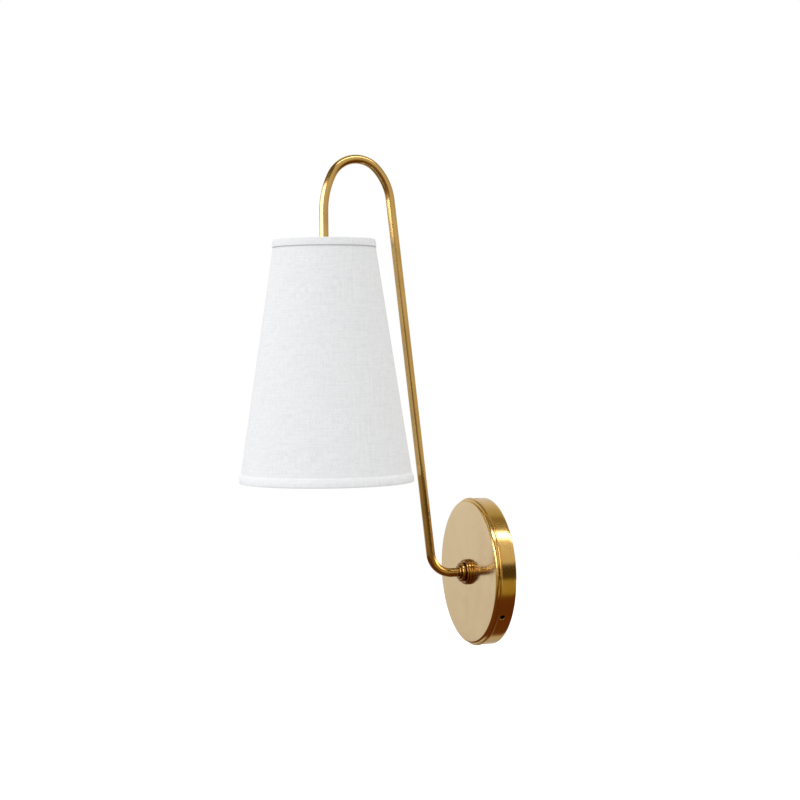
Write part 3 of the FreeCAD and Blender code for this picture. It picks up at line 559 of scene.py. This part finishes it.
# canopy
def makeCanopy():
    size = canopySizes
    bead = size["depth"] - size["beadBehind"]
    beadTop = bead + size["beadHalf"]
    foot = size["rim"] - size["ovoloInset"]
    inner = armSizes["tube"] + 0.05
    innerRim = size["rim"] - size["wall"]
    behindFace = size["depth"] - size["wall"]
    outside = [(inner, behindFace), (inner, size["depth"])]
    faceEdge = size["face"] - 0.55
    for step in range(1, 13):
        outside.append((faceEdge * step / 12 + inner * (1 - step / 12), size["depth"]))
    # the rounded lip of the face, then the ovolo, a quarter of an ellipse
    outside += [(size["face"] - 0.2, size["depth"] - 0.03), (size["face"] + 0.05, size["depth"] - 0.2)]
    run = foot - size["face"] - 0.05
    drop = size["depth"] - 0.2 - beadTop - 0.12
    for step in range(1, 9):
        angle = math.pi / 2 * step / 8
        outside.append((size["face"] + 0.05 + run * math.sin(angle) ** 0.9,
                        beadTop + 0.12 + drop * math.cos(angle)))
    outside.append((foot - 0.02, beadTop + 0.02))
    outside.append((size["rim"] - 0.25, beadTop))
    for step in range(7):
        angle = math.pi * (0.5 - step / 6)
        outside.append((size["rim"] + size["beadProud"] * max(math.cos(angle), 0),
                        bead + size["beadHalf"] * math.sin(angle)))
    # a fine groove behind the bead, then the plain rim
    beadFoot = bead - size["beadHalf"]
    groove = size["rim"] - 0.18
    outside += [(groove, beadFoot - 0.06), (groove, beadFoot - 0.3), (size["rim"], beadFoot - 0.45)]
    outside += [(size["rim"], height) for height in (11.6, 9.2, 6.0, 3.0, 0.35)]
    outside += [(size["rim"] - 0.1, 0.1), (size["rim"] - 0.35, 0.0), (innerRim, 0.0)]
    shoulder = bead - size["wall"]
    outside += [(innerRim, shoulder), (innerRim - 0.8, shoulder + 2.0),
                (size["face"] - size["wall"], behindFace)]
    canopy = turned("canopy_dish", outside, rimBrass, "fixture", onStem, 288,
                    replaced=("canopy",))
    for angle in size["holeAngles"]:
        outward = rimDirection(angle)
        hole, sink = size["hole"], size["sink"]
        profile = [(0, -6), (hole, -6), (hole, -sink), (hole + 0.12, -sink + 0.14),
                   (hole + 2 * sink, sink), (0, sink)]
        base = outward * size["rim"] + toRoom * size["holeHeight"]
        turn = up.rotation_difference(outward).to_matrix()

        def place(radius, along, turnAngle):
            local = Vector((radius * math.cos(turnAngle), radius * math.sin(turnAngle), along))
            return (base + turn @ local) * mm

        drill = turned("drill", profile, rimBrass, "fixture", place, 40)
        cutWith(canopy, drill)
    # the face's own finish, and the bores painted near-black as painted shade
    canopy.data.materials.append(faceBrass)
    canopy.data.materials.append(boreShadeBrass)
    faceFrom = -(size["depth"] - 0.02) * mm
    for face in canopy.data.polygons:
        if face.center.y < faceFrom:
            face.material_index = 1
        for angle in size["holeAngles"]:
            outward = rimDirection(angle)
            fromAxis = face.center / mm - toRoom * size["holeHeight"]
            depth = fromAxis.dot(outward)
            inBore = (fromAxis - outward * depth).length < size["hole"] + 0.02
            if inBore and 0 < depth < size["rim"] - size["sink"]:
                face.material_index = 2


makeCanopy()
print("canopy turned and drilled")


# collar, three turned rings
collarSizes = {
    "ring": 11.6, "ringHeight": 2.6, "step": 11.1, "height": 4.6, "groove": 0.7,
    "bead": 9.0, "beadHeight": 3.6, "beadStep": 1.5, "neck": 0.5, "ferrule": 6.3, "ferruleHeight": 1.7,
}


def makeCollar():
    size = collarSizes
    inner = armSizes["tube"] + 0.03
    foot = canopySizes["depth"]
    grooveFoot = foot + size["ringHeight"]
    grooveTop = grooveFoot + 0.5 * size["groove"]
    top = foot + size["height"]
    root = size["step"] - size["groove"]
    flange = rounded([
        (inner, foot, 0), (size["ring"] - 0.3, foot, 0), (size["ring"], foot + 0.3, 0.4),
        (size["ring"], grooveFoot, 1.15), (root, grooveFoot, 0.1), (root, grooveTop, 0.1),
        (size["step"], grooveTop, 0.2), (size["step"], top, 0.7), (inner, top, 0)])
    turned("collar_seat", flange, collarShadedBrass, "fixture", onStem, 120,
           replaced=("collar_flange",))
    foot = top
    top = foot + size["beadHeight"]
    middle = 0.5 * (foot + size["neck"] + top)
    neck = size["bead"] - size["beadStep"]
    bead = [(inner, foot), (neck + 0.35, foot), (neck + 0.35, foot + size["neck"])]
    half = 0.5 * (top - foot - size["neck"])
    for step in range(13):
        angle = math.pi * (step / 12 - 0.5)
        swell = size["beadStep"] * max(math.cos(angle), 0) ** 0.8
        bead.append((neck + swell, middle + half * math.sin(angle)))
    bead.append((inner, top))
    turned("collar_bead_ring", bead, collarShadedBrass, "fixture", onStem, 120,
           replaced=("collar_bead",))
    foot = top
    top = foot + size["ferruleHeight"]
    out = size["ferrule"]
    ferrule = rounded([(inner, foot, 0), (out - 0.4, foot, 0.1), (out, foot + 0.4, 0.4),
                       (out, top - 0.4, 0.5), (out - 0.6, top, 0.4), (inner, top, 0)])
    turned("collar_small_ring", ferrule, collarShadedBrass, "fixture", onStem, 96,
           replaced=("collar_ferrule",))


makeCollar()


# arm, bent from one tube
def armLean():
    size = armSizes
    room = math.radians(size["crownRoom"])
    wall = math.radians(size["crownWall"])
    shoulder = size["crown"] * math.sin(room) + size["roomShoulder"] * (1 - math.sin(room))
    crownReach = size["reach"] - shoulder
    jointReach = crownReach - size["crown"] * math.sin(wall)
    jointZ = size["topZ"] - size["crown"] * (1 - math.cos(wall))
    across = jointReach + size["wallShoulder"] * math.sin(wall) - canopySizes["depth"] - size["stemRun"]
    rise = jointZ - size["wallShoulder"] * math.cos(wall) - size["stemBend"]
    between = math.hypot(across, rise)
    radii = size["stemBend"] + size["wallShoulder"]
    lean = math.atan2(across, rise) - math.asin(radii / between)
    return math.degrees(lean), math.sqrt(between ** 2 - radii ** 2)


def armBends():
    lean, leg = armLean()
    size = armSizes
    return [("turn", up, size["stemBend"], 90 - lean), ("run", leg),
            ("turn", toRoom, size["wallShoulder"], 90 - lean - size["crownWall"]),
            ("turn", toRoom, size["crown"], size["crownWall"]),
            ("turn", -up, size["crown"], size["crownRoom"]),
            ("turn", -up, size["roomShoulder"], 90 - size["crownRoom"])]


def makeArm():
    size = armSizes
    moves = [("run", canopySizes["depth"] - size["start"] + size["stemRun"])] + armBends()
    path = travelled(toRoom * size["start"], toRoom, moves, 1.5, 6.0)
    path += [Vector((path[-1].x, path[-1].y, path[-1].z * (1 - step / 9) + size["endZ"] * step / 9))
             for step in range(1, 10)]
    swept("arm_bent_tube", path, size["tube"], armBrass, "fixture", 48, size["tube"] - size["wall"],
          ("arm_tube",))


makeArm()
print("arm bent")


# shade
slope = math.atan2(shadeSizes["bottom"] - shadeSizes["top"], shadeSizes["height"])
slopeLength = math.hypot(shadeSizes["height"], shadeSizes["bottom"] - shadeSizes["top"])
topZ = shadeSizes["bottomZ"] + shadeSizes["height"]
linerFace = -shadeSizes["linen"] - shadeSizes["liner"] - 2 * shadeSizes["glue"]
wireOut = linerFace - shadeSizes["wire"]
wireAlong = shadeSizes["wire"] + shadeSizes["glue"]


def onCone(along, out):
    # along runs down the slope from the top edge, out stands off the linen's outer face
    radius = shadeSizes["top"] + along * math.sin(slope) + out * math.cos(slope)
    return radius, topZ - along * math.cos(slope) + out * math.sin(slope)


def fromBottom(along, out):
    return onCone(slopeLength - along, out)


def unevenness(amount, waves, phase):
    # a hand-glued edge wanders a little; the sines keep it the same each run
    def wobble(angle, number):
        slow = math.sin(waves * angle + phase) + 0.6 * math.sin((2 * waves + 1) * angle + 2 * phase)
        return amount * (slow + 0.35 * math.sin((5 * waves + 3) * angle + number * 0.7))
    return wobble


def makeShadeCloth():
    steps = 40
    linen = [onCone(slopeLength * step / steps, 0) for step in range(steps + 1)]
    thickness = shadeSizes["linen"]
    linen += [onCone(slopeLength * (1 - step / steps), -thickness) for step in range(steps + 1)]
    cloth = turned("shade_linen_sheet", linen, shadeLinen, "shade", sides=180,
                   replaced=("shade_linen",))
    inside = -thickness - shadeSizes["glue"]
    liner = [onCone(slopeLength * step / 10, inside) for step in range(11)]
    liner += [onCone(slopeLength * (1 - step / 10), inside - shadeSizes["liner"]) for step in range(11)]
    turned("shade_liner_cone", liner, linerSheet, "shade", sides=144, replaced=("shade_liner",))
    makeSeam()


def makeSeam():
    # the linen's own overlap, a strip one cloth thick down the side that faces the wall
    bm = bmesh.new()
    flat = bm.loops.layers.uv.new("flat")
    steps, width, thick, towardsWall = 40, 9.0, 0.3, math.radians(78)
    rows = []
    for step in range(steps + 1):
        along = 2 + (slopeLength - 4) * step / steps
        radius = onCone(along, 0)[0]
        row = [along]
        for across, out in ((-0.5, 0.02), (-0.46, thick), (0.0, thick), (0.46, thick), (0.5, 0.02)):
            station = onCone(along, out)
            angle = towardsWall + across * width / radius
            row.append(bm.verts.new(onShade(station[0], station[1], angle)))
        rows.append(row)
    for step in range(steps):
        for number in range(4):
            upper, lower = rows[step], rows[step + 1]
            left, right = number + 1, number + 2
            face = bm.faces.new([upper[left], upper[right], lower[right], lower[left]])
            for loop, (across, row) in zip(face.loops, ((0, upper), (1, upper), (1, lower), (0, lower))):
                loop[flat].uv = ((number + across) * width / 4 * mm, row[0] * mm)
    finishMesh("shade_linen_seam", bm, shadeLinen, "shade", ())


bandSizes = {
    "topPuff": 0.25, "hemPuff": 0.7, "topLip": 1.5, "hemLip": 0.45, "over": 0.12, "wander": 0.05,
}


def foldedBand(name, place, height, puff, lip, replaced, phase, material):
    # cloth round the edge: up the outside, rounded over the frame wire, and down the inside
    size = shadeSizes
    glue, thick = size["glue"], size["cloth"]
    outerFace = glue + thick
    lipFace = glue + thick * lip
    profile = [place(height, glue), place(height + 0.04, 0.5 * lipFace)]
    profile.append(place(height - 0.15, lipFace))
    for step in range(1, 13):
        t = step / 13
        out = lipFace + (outerFace - lipFace) * t ** 0.7 + puff * math.sin(math.pi * t) ** 0.8
        profile.append(place(height * (1 - t), out))
    over = -bandSizes["over"]
    profile += [place(0.0, outerFace - 0.1), place(over * 0.6, outerFace - 0.3)]
    profile.append(place(over, outerFace - 0.7))
    wireFace = wireOut - size["wire"] - glue
    profile += [place(over, -1.4), place(over, wireFace + 0.2), place(over + 0.1, wireFace - 0.2)]
    under = wireAlong + size["wire"] + glue
    landing = under + (linerFace - wireFace)
    fold = size["fold"]
    profile += [place(0.2, wireFace - thick), place(under, wireFace - thick),
                place(landing, linerFace - thick), place(fold - 0.15, linerFace - thick),
                place(fold, linerFace - 0.5 * thick), place(fold, linerFace), place(landing, linerFace),
                place(under, wireFace), place(-glue, wireFace), place(-glue, glue)]
    wobble = unevenness(bandSizes["wander"], 3, phase)
    turned(name, profile, material, "shade", sides=200, wobble=wobble, replaced=replaced,
           sharp=60)


def makeRings():
    for name, place in (("shade_top_ring", onCone), ("shade_bottom_ring", fromBottom)):
        circle = arcPoints(place(wireAlong, wireOut), shadeSizes["wire"], 0, 337.5, 15)
        turned(name.replace("ring", "wire"), circle, frameWhite, "shade", sides=120, replaced=(name,))


spiderSizes = {
    "drop": 13.0, "spokes": 3, "radius": 1.2, "bend": 6.0, "slant": 30.0, "leadIn": 3.0, "into": 2.0,
    "washer": 12.0, "washerHeight": 1.4, "bore": 0.08,
}
washerTop = topZ - spiderSizes["drop"]
washerBottom = washerTop - spiderSizes["washerHeight"]


def makeSpider():
    size = spiderSizes
    ringRadius, ringZ = onCone(wireAlong, wireOut)
    inner = armSizes["tube"] + size["bore"]
    washer = rounded([(inner, washerBottom, 0.15), (size["washer"], washerBottom, 0.3),
                      (size["washer"], washerTop, 0.4), (inner, washerTop, 0.2)])
    turned("spider_washer", washer, frameWhite, "shade", replaced=("shade_spider",))
    drop = ringZ - (washerTop - 0.5 * size["washerHeight"])
    slant = math.radians(size["slant"])
    straight = (drop - 2 * size["bend"] * (1 - math.cos(slant))) / math.sin(slant)
    for number in range(size["spokes"]):
        turn = math.radians(90 + 360 * number / size["spokes"])
        outward = Vector((math.cos(turn), math.sin(turn), 0))
        start = shadeCentre + outward * (ringRadius - wireAlong) + up * ringZ
        moves = [("run", size["leadIn"]), ("turn", -up, size["bend"], size["slant"]), ("run", straight),
                 ("turn", -outward, size["bend"], size["slant"])]
        path = travelled(start, -outward, moves, 4, 3)
        reached = (path[-1] - shadeCentre).dot(outward)
        path.append(path[-1] - outward * (reached - size["washer"] + size["into"]))
        swept(f"spider_spoke_{number + 1}", path, size["radius"], frameWhite, "shade", 20)


makeShadeCloth()
foldedBand("shade_top_band_cloth", onCone, shadeSizes["topBand"], bandSizes["topPuff"],
           bandSizes["topLip"], ("shade_top_band",), 0.4, topBandLinen)
foldedBand("shade_hem_cloth", fromBottom, shadeSizes["bottomBand"], bandSizes["hemPuff"],
           bandSizes["hemLip"], ("shade_bottom_band",), 1.9, hemLinen)
makeRings()
makeSpider()
print("shade made")


# what the shade hangs on
holderSizes = {
    "nutFlats": 15.0, "nutHeight": 4.5, "nutGap": 0.04, "retainer": 8.0, "retainerHeight": 5.0,
    "retainerGap": 0.3, "ridges": 60, "ridge": 0.22, "neck": 6.6, "neckHeight": 7.0, "dome": 11.0,
    "skirt": 8.0, "cap": 17.3, "capWall": 0.8, "shellWall": 0.6, "shellLength": 40.0, "lip": 0.9,
    "shellGap": 0.1,
}
capTop = washerBottom - holderSizes["nutHeight"]
domeTop = capTop - holderSizes["neckHeight"]
skirtTop = domeTop - holderSizes["dome"]
skirtBottom = skirtTop - holderSizes["skirt"]
shellTop = skirtTop - 1.0
shellBottom = shellTop - holderSizes["shellLength"]


def makeHolder():
    size = holderSizes
    inner = armSizes["tube"] + 0.05
    # the nut, a lathe whose radius follows a hexagon
    flats = size["nutFlats"] / 2
    seat = washerBottom - size["nutGap"]
    bm = turnedMesh([(inner, seat), (flats * 0.97, seat), (flats, seat - 0.25),
                     (flats, capTop + 0.6), (flats - 0.5, capTop), (inner, capTop)], 96, onShade)
    for vert in bm.verts:
        x, y = vert.co.x, vert.co.y - shadeCentre.y * mm
        radius = math.hypot(x, y)
        if radius < (inner + 1) * mm:
            continue
        turn = math.atan2(y, x) % (math.pi / 3) - math.pi / 6
        grow = min(1 / math.cos(turn), 1.12)
        vert.co.x, vert.co.y = x * grow, y * grow + shadeCentre.y * mm
    finishMesh("seat_nut_hexagon", bm, fittingBrass, "fixture", ("shade_seat_nut",), 20)
    foot = washerTop + size["retainerGap"]
    top = foot + size["retainerHeight"]
    out = size["retainer"]
    ring = rounded([(inner, foot, 0.2), (out, foot, 0.5), (out, top, 0.5), (inner, top, 0.3)])
    ridges = unitRidges(size["ridges"], size["ridge"])
    turned("retaining_ring_ridged", ring, fittingBrass, "fixture", sides=360, wobble=ridges,
           replaced=("shade_retainer",))
    cap = [(inner, capTop), (size["neck"] - 0.4, capTop), (size["neck"], capTop - 0.4),
           (size["neck"], domeTop + 0.5)]
    for step in range(13):
        angle = math.pi / 2 * step / 12
        cap.append((size["neck"] + 0.4 + (size["cap"] - size["neck"] - 0.4) * math.sin(angle),
                    skirtTop + (domeTop - skirtTop) * math.cos(angle)))
    capInner = size["cap"] - size["capWall"]
    cap += [(size["cap"], skirtBottom + 0.9), (size["cap"], skirtBottom), (capInner, skirtBottom),
            (capInner, skirtTop)]
    for step in range(11, -1, -1):
        angle = math.pi / 2 * step / 12
        cap.append((size["neck"] + (capInner - size["neck"]) * math.sin(angle),
                    skirtTop - size["capWall"] * 0.8 + (domeTop - skirtTop) * math.cos(angle)))
    cap.append((inner, domeTop - size["capWall"] * 0.8))
    turned("holder_spun_cap", cap, fittingBrass, "fixture", replaced=("holder_cap",))
    outer = capInner - size["shellGap"]
    shell = [(outer - size["shellWall"], shellTop), (outer, shellTop), (outer, skirtBottom - 1.0),
             (outer, shellBottom + 2 * size["lip"] + 0.2)]
    shell += arcPoints((outer, shellBottom + size["lip"]), size["lip"], 80, -90, 10)
    shell.append((outer - size["shellWall"], shellBottom))
    turned("holder_drawn_shell", shell, fittingBrass, "fixture", replaced=("holder_shell",))


def unitRidges(count, depth):
    def wobble(angle, number):
        return -depth * (0.5 - 0.5 * math.cos(count * angle)) if 3 < number < 15 else 0.0
    return wobble


makeHolder()


# bulb
bulbSizes = {
    "base": 13.0, "pitch": 3.6, "depth": 0.75, "baseTop": 236.8, "baseBottom": 216.8, "glass": 24.0,
    "length": 64.0, "neck": 12.4, "glassWall": 1.0,
}


def makeBulb():
    size = bulbSizes
    centre = size["baseBottom"] - size["length"] + size["glass"]
    rise = size["baseBottom"] - centre
    distance = math.hypot(size["neck"], rise)
    touch = math.degrees(math.atan2(rise, size["neck"]) - math.acos(size["glass"] / distance))
    wall = size["glassWall"]
    glass = [(size["neck"] - wall, size["baseBottom"] + 4), (size["neck"], size["baseBottom"] + 4),
             (size["neck"], size["baseBottom"])]
    glass += [tuple(point) for point in arcPoints((0, centre), size["glass"], touch, -89.9, 40)]
    glass.append((0, centre - size["glass"]))
    glass.append((0, centre - size["glass"] + wall))
    glass += [tuple(point) for point in arcPoints((0, centre), size["glass"] - wall, -89.9, touch, 20)]
    glass.append((size["neck"] - wall, size["baseBottom"]))
    turned("bulb_frosted_globe", glass, frostedGlass, "bulb", sides=96, replaced=("bulb_glass",))
    # the rolled thread, one helix whose crests keep to the base's full radius
    rows, sides = 90, 72
    bm = bmesh.new()
    rings = []
    for row in range(rows + 1):
        z = size["baseBottom"] + 0.2 + (size["baseTop"] - size["baseBottom"] - 1.4) * row / rows
        fade = min(1, (z - size["baseBottom"]) / 2.5, (size["baseTop"] - z) / 2.5)
        ring = []
        for side in range(sides):
            angle = 2 * math.pi * side / sides
            phase = 2 * math.pi * (z / size["pitch"]) - angle
            radius = size["base"] - size["depth"] * fade * (0.5 - 0.5 * math.cos(phase))
            ring.append(bm.verts.new(onShade(radius, z, angle)))
        rings.append(ring)
    for lower, higher in zip(rings, rings[1:]):
        joinRings(bm, lower, higher)
    for ring, radius, z in ((rings[0], size["base"] - 1.2, size["baseBottom"] + 0.1),
                            (rings[-1], size["base"] - 1.6, size["baseTop"])):
        joinRings(bm, ring, [bm.verts.new(onShade(radius, z, 2 * math.pi * side / sides))
                             for side in range(sides)])
    finishMesh("bulb_threaded_base", bm, bulbMetal, "bulb", ("bulb_base",), 50)


makeBulb()
print("holder and bulb made")


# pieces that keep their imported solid, each in its own finish
keptFinishes = {
    "wall_bracket": zincSteel, "side_screws": blackSteel, "ground_screw": zincSteel,
    "ground_wire": bareCopper, "ground_lug": zincSteel, "stem_lock_washer": zincSteel,
    "stem_nut": zincSteel, "live_lead": liveCover, "neutral_lead": neutralCover,
    "holder_sleeve": fibreSleeve, "holder_body": darkInsulator, "holder_screw_shell": fittingBrass,
    "holder_contact": fittingBrass, "live_terminal_screw": fittingBrass,
    "neutral_terminal_screw": zincSteel, "bulb_insulator": bulbBlack, "bulb_tip": bulbMetal,
}
for node, finish in keptFinishes.items():
    nodes[node].data.materials.clear()
    nodes[node].data.materials.append(finish)


# studio
studio = {"floorZ": -620.0, "floorSize": 9000.0, "floorGlow": 0.22, "softbox": 1.2}


def flatBoard(name, size, z=0.0):
    width, height = (side * mm / 2 for side in size)
    bm = bmesh.new()
    corners = [(-width, -height), (width, -height), (width, height), (-width, height)]
    bm.faces.new([bm.verts.new((x, y, z * mm)) for x, y in corners])
    mesh = bpy.data.meshes.new(name)
    bm.to_mesh(mesh)
    bm.free()
    board = bpy.data.objects.new(name, mesh)
    bpy.context.scene.collection.objects.link(board)
    return board


def makeFloor():
    floor = flatBoard("studio_floor", [studio["floorSize"]] * 2, studio["floorZ"])

    def varying(finish):
        paper = finish.noise(finish.place(), 3.0, 2, 0.5)
        return {"Base Color": finish.mixed((0.93, 0.93, 0.93), (0.95, 0.95, 0.95), paper)}
    plain = {"Roughness": 0.9, "Emission Color": (1, 1, 1, 1), "Emission Strength": studio["floorGlow"]}
    floor.data.materials.append(newMaterial("floor_paper", plain, varying))
    floor.visible_glossy = False
    floor.visible_diffuse = False


# what the polished brass sees on a ring from the window side, down under, up and over, as turns
ringTones = [
    (0.000, (0.76, 0.72, 0.66)), (0.008, (0.76, 0.72, 0.66)), (0.022, (0.68, 0.64, 0.57)),
    (0.080, (0.55, 0.51, 0.43)), (0.110, (0.48, 0.43, 0.34)), (0.150, (0.58, 0.52, 0.44)),
    (0.165, (0.54, 0.46, 0.36)), (0.185, (0.15, 0.05, 0.012)), (0.385, (0.14, 0.042, 0.008)),
    (0.402, (0.15, 0.06, 0.012)), (0.416, (0.41, 0.29, 0.06)), (0.482, (0.43, 0.33, 0.10)),
    (0.493, (0.80, 0.72, 0.55)), (0.560, (0.78, 0.70, 0.53)), (0.655, (0.80, 0.73, 0.58)),
    (0.708, (0.38, 0.30, 0.15)), (0.745, (0.29, 0.23, 0.10)), (0.765, (0.28, 0.20, 0.08)),
    (0.790, (0.50, 0.44, 0.22)), (0.822, (0.58, 0.50, 0.33)), (0.866, (0.71, 0.66, 0.56)),
    (0.906, (0.76, 0.74, 0.72)), (1.000, (0.76, 0.72, 0.66)),
]
roomTones = {
    "strip": (6.0, 5.9, 5.7), "roomLevel": (0.42, 0.34, 0.20), "roomHigh": (0.16, 0.11, 0.03),
    "roomLow": (0.14, 0.05, 0.01), "wallLevel": (0.72, 0.62, 0.42), "even": 0.945, "lean": 0.09,
    "overhead": 0.32, "dim": 0.18, "blue": 0.012, "cameraSide": (0.19, 0.135, 0.025),
}


def makeStudioLight():
    tone = roomTones
    world = bpy.data.worlds.new("studio_light")
    bpy.context.scene.world = world
    world.use_nodes = True
    finish = Finish(world.node_tree)
    background = world.node_tree.nodes["Background"]
    x, y, z = finish.split(finish.place("Generated"))
    turn = z.angleTo(x) / (2 * math.pi) + 0.5
    glossy = finish.add("ShaderNodeValToRGB", {"stops": ringTones}, {"Fac": turn})
    toRoomSide = 0 - y
    level = 1 - abs(z).rise(0.2, 0.42)
    glossy = finish.mixed(glossy, tone["roomLevel"], toRoomSide.rise(0.5, 0.8) * level)
    glossy = finish.mixed(glossy, tone["roomHigh"], toRoomSide.rise(0.2, 0.34) * z.rise(0.28, 0.45))
    glossy = finish.mixed(glossy, tone["roomLow"], toRoomSide.rise(0.16, 0.3) * (0 - z).rise(0.2, 0.3))
    glossy = finish.mixed(glossy, tone["wallLevel"], y.rise(0.5, 0.8) * level)
    # the dark room behind the camera, just under eye level
    below = (0 - z).rise(0.032, 0.058) * (1 - (0 - z).rise(0.3, 0.45))
    ahead = x.rise(0.62, 0.78) * toRoomSide.rise(-0.12, -0.02)
    glossy = finish.mixed(glossy, tone["cameraSide"], ahead * below)
    # the bright strip light high on the camera's side
    strip = turn.rise(0.654, 0.660) * (1 - turn.rise(0.688, 0.694))
    strip = strip * y.rise(-0.42, -0.3) * (1 - y.rise(0.6, 0.75))
    glossy = finish.mixed(glossy, tone["strip"], strip)
    # soft light for the cloth, stronger from above and the room, dimmer straight from the side
    dimSide = (x * 0.968 + y * 0.25).most(0.0)
    even = tone["even"] + toRoomSide * tone["lean"] + z * tone["overhead"]
    even = even - dimSide * dimSide * tone["dim"]
    blue = (toRoomSide + 0.3) * tone["blue"]
    soft = finish.add("ShaderNodeCombineColor", values={0: even - blue, 1: even, 2: even + blue * 1.5})
    rays = finish.add("ShaderNodeLightPath", output="Is Glossy Ray")
    seen = finish.add("ShaderNodeLightPath", output="Is Camera Ray")
    lit = finish.mixed(soft, glossy, rays)
    finish.feed(background.inputs["Color"], finish.mixed(lit, (1.0, 1.0, 1.0), seen))
    background.inputs["Strength"].default_value = 1.0


# cards that only the brass sees, in millimetres: a window in front and a dark board behind
cards = {
    "window_card": {"place": (195, -1637, 686), "aim": (0, -152, 686), "size": (2386, 922),
                    "colour": (1.0, 0.98, 0.95), "glow": 5.5},
    "dark_board": {"place": (305, 80, 22), "aim": (66, -9, 22), "size": (420, 113),
                   "colour": (0.08, 0.05, 0.01), "glow": 1.0},
}


def addCard(name, card):
    board = flatBoard(name, card["size"])
    place = Vector(card["place"]) * mm
    facing = (Vector(card["aim"]) * mm - place).to_track_quat("Z", "Y")
    board.matrix_world = Matrix.Translation(place) @ facing.to_matrix().to_4x4()

    def varying(finish):
        grain = finish.noise(finish.place(), 6.0, 2, 0.5)
        dimmer = tuple(part * 0.96 for part in card["colour"])
        return {"Emission Color": finish.mixed(dimmer, card["colour"], grain)}
    plain = {"Base Color": (0, 0, 0, 1), "Roughness": 1.0, "Emission Strength": card["glow"],
             "Specular IOR Level": 0.0}
    board.data.materials.append(newMaterial(name + "_glow", plain, varying))
    for ray in ("camera", "diffuse", "transmission", "shadow"):
        setattr(board, "visible_" + ray, False)


def addSoftbox(name, place, aim, size, energy):
    light = bpy.data.lights.new(name, "AREA")
    light.shape = "RECTANGLE"
    light.size, light.size_y = size
    light.energy = energy
    lamp = bpy.data.objects.new(name, light)
    lamp.location = place
    lamp.rotation_mode = "QUATERNION"
    lamp.rotation_quaternion = (Vector(aim) - Vector(place)).to_track_quat("-Z", "Y")
    lamp.visible_glossy = False
    bpy.context.scene.collection.objects.link(lamp)


cameraFit = {
    "azimuth": 69.232, "pitch": 1.639, "roll": -0.526, "focal": 1906.94, "distance": 1.6995,
    "target": (0, -0.082215, 0.15617), "pixels": 800, "sensor": 36.0, "nudge": 0.5,
}


def placeCamera():
    fit = cameraFit
    turn, tilt, roll = (math.radians(fit[key]) for key in ("azimuth", "pitch", "roll"))
    back = Vector((math.sin(turn) * math.cos(tilt), -math.cos(turn) * math.cos(tilt), math.sin(tilt)))
    right = Vector((math.cos(turn), math.sin(turn), 0))
    over = back.cross(right)
    across = right * math.cos(roll) + over * math.sin(roll)
    over = over * math.cos(roll) - right * math.sin(roll)
    lens = bpy.data.cameras.new("photo_camera")
    lens.sensor_width = fit["sensor"]
    lens.lens = fit["focal"] / fit["pixels"] * fit["sensor"]
    lens.shift_x = -fit["nudge"] / fit["pixels"]
    lens.shift_y = fit["nudge"] / fit["pixels"]
    camera = bpy.data.objects.new("photo_camera", lens)
    axes = Matrix((across, over, back)).transposed().to_4x4()
    camera.matrix_world = Matrix.Translation(Vector(fit["target"]) + back * fit["distance"]) @ axes
    bpy.context.scene.collection.objects.link(camera)
    bpy.context.scene.camera = camera


makeFloor()
makeStudioLight()
for name, card in cards.items():
    addCard(name, card)
addSoftbox("room_softbox", (0.9, -1.7, 0.7), (0, -0.1, 0.15), (1.2, 1.2), studio["softbox"])
placeCamera()
bpy.context.scene.view_settings.view_transform = "Standard"
print("studio lit")
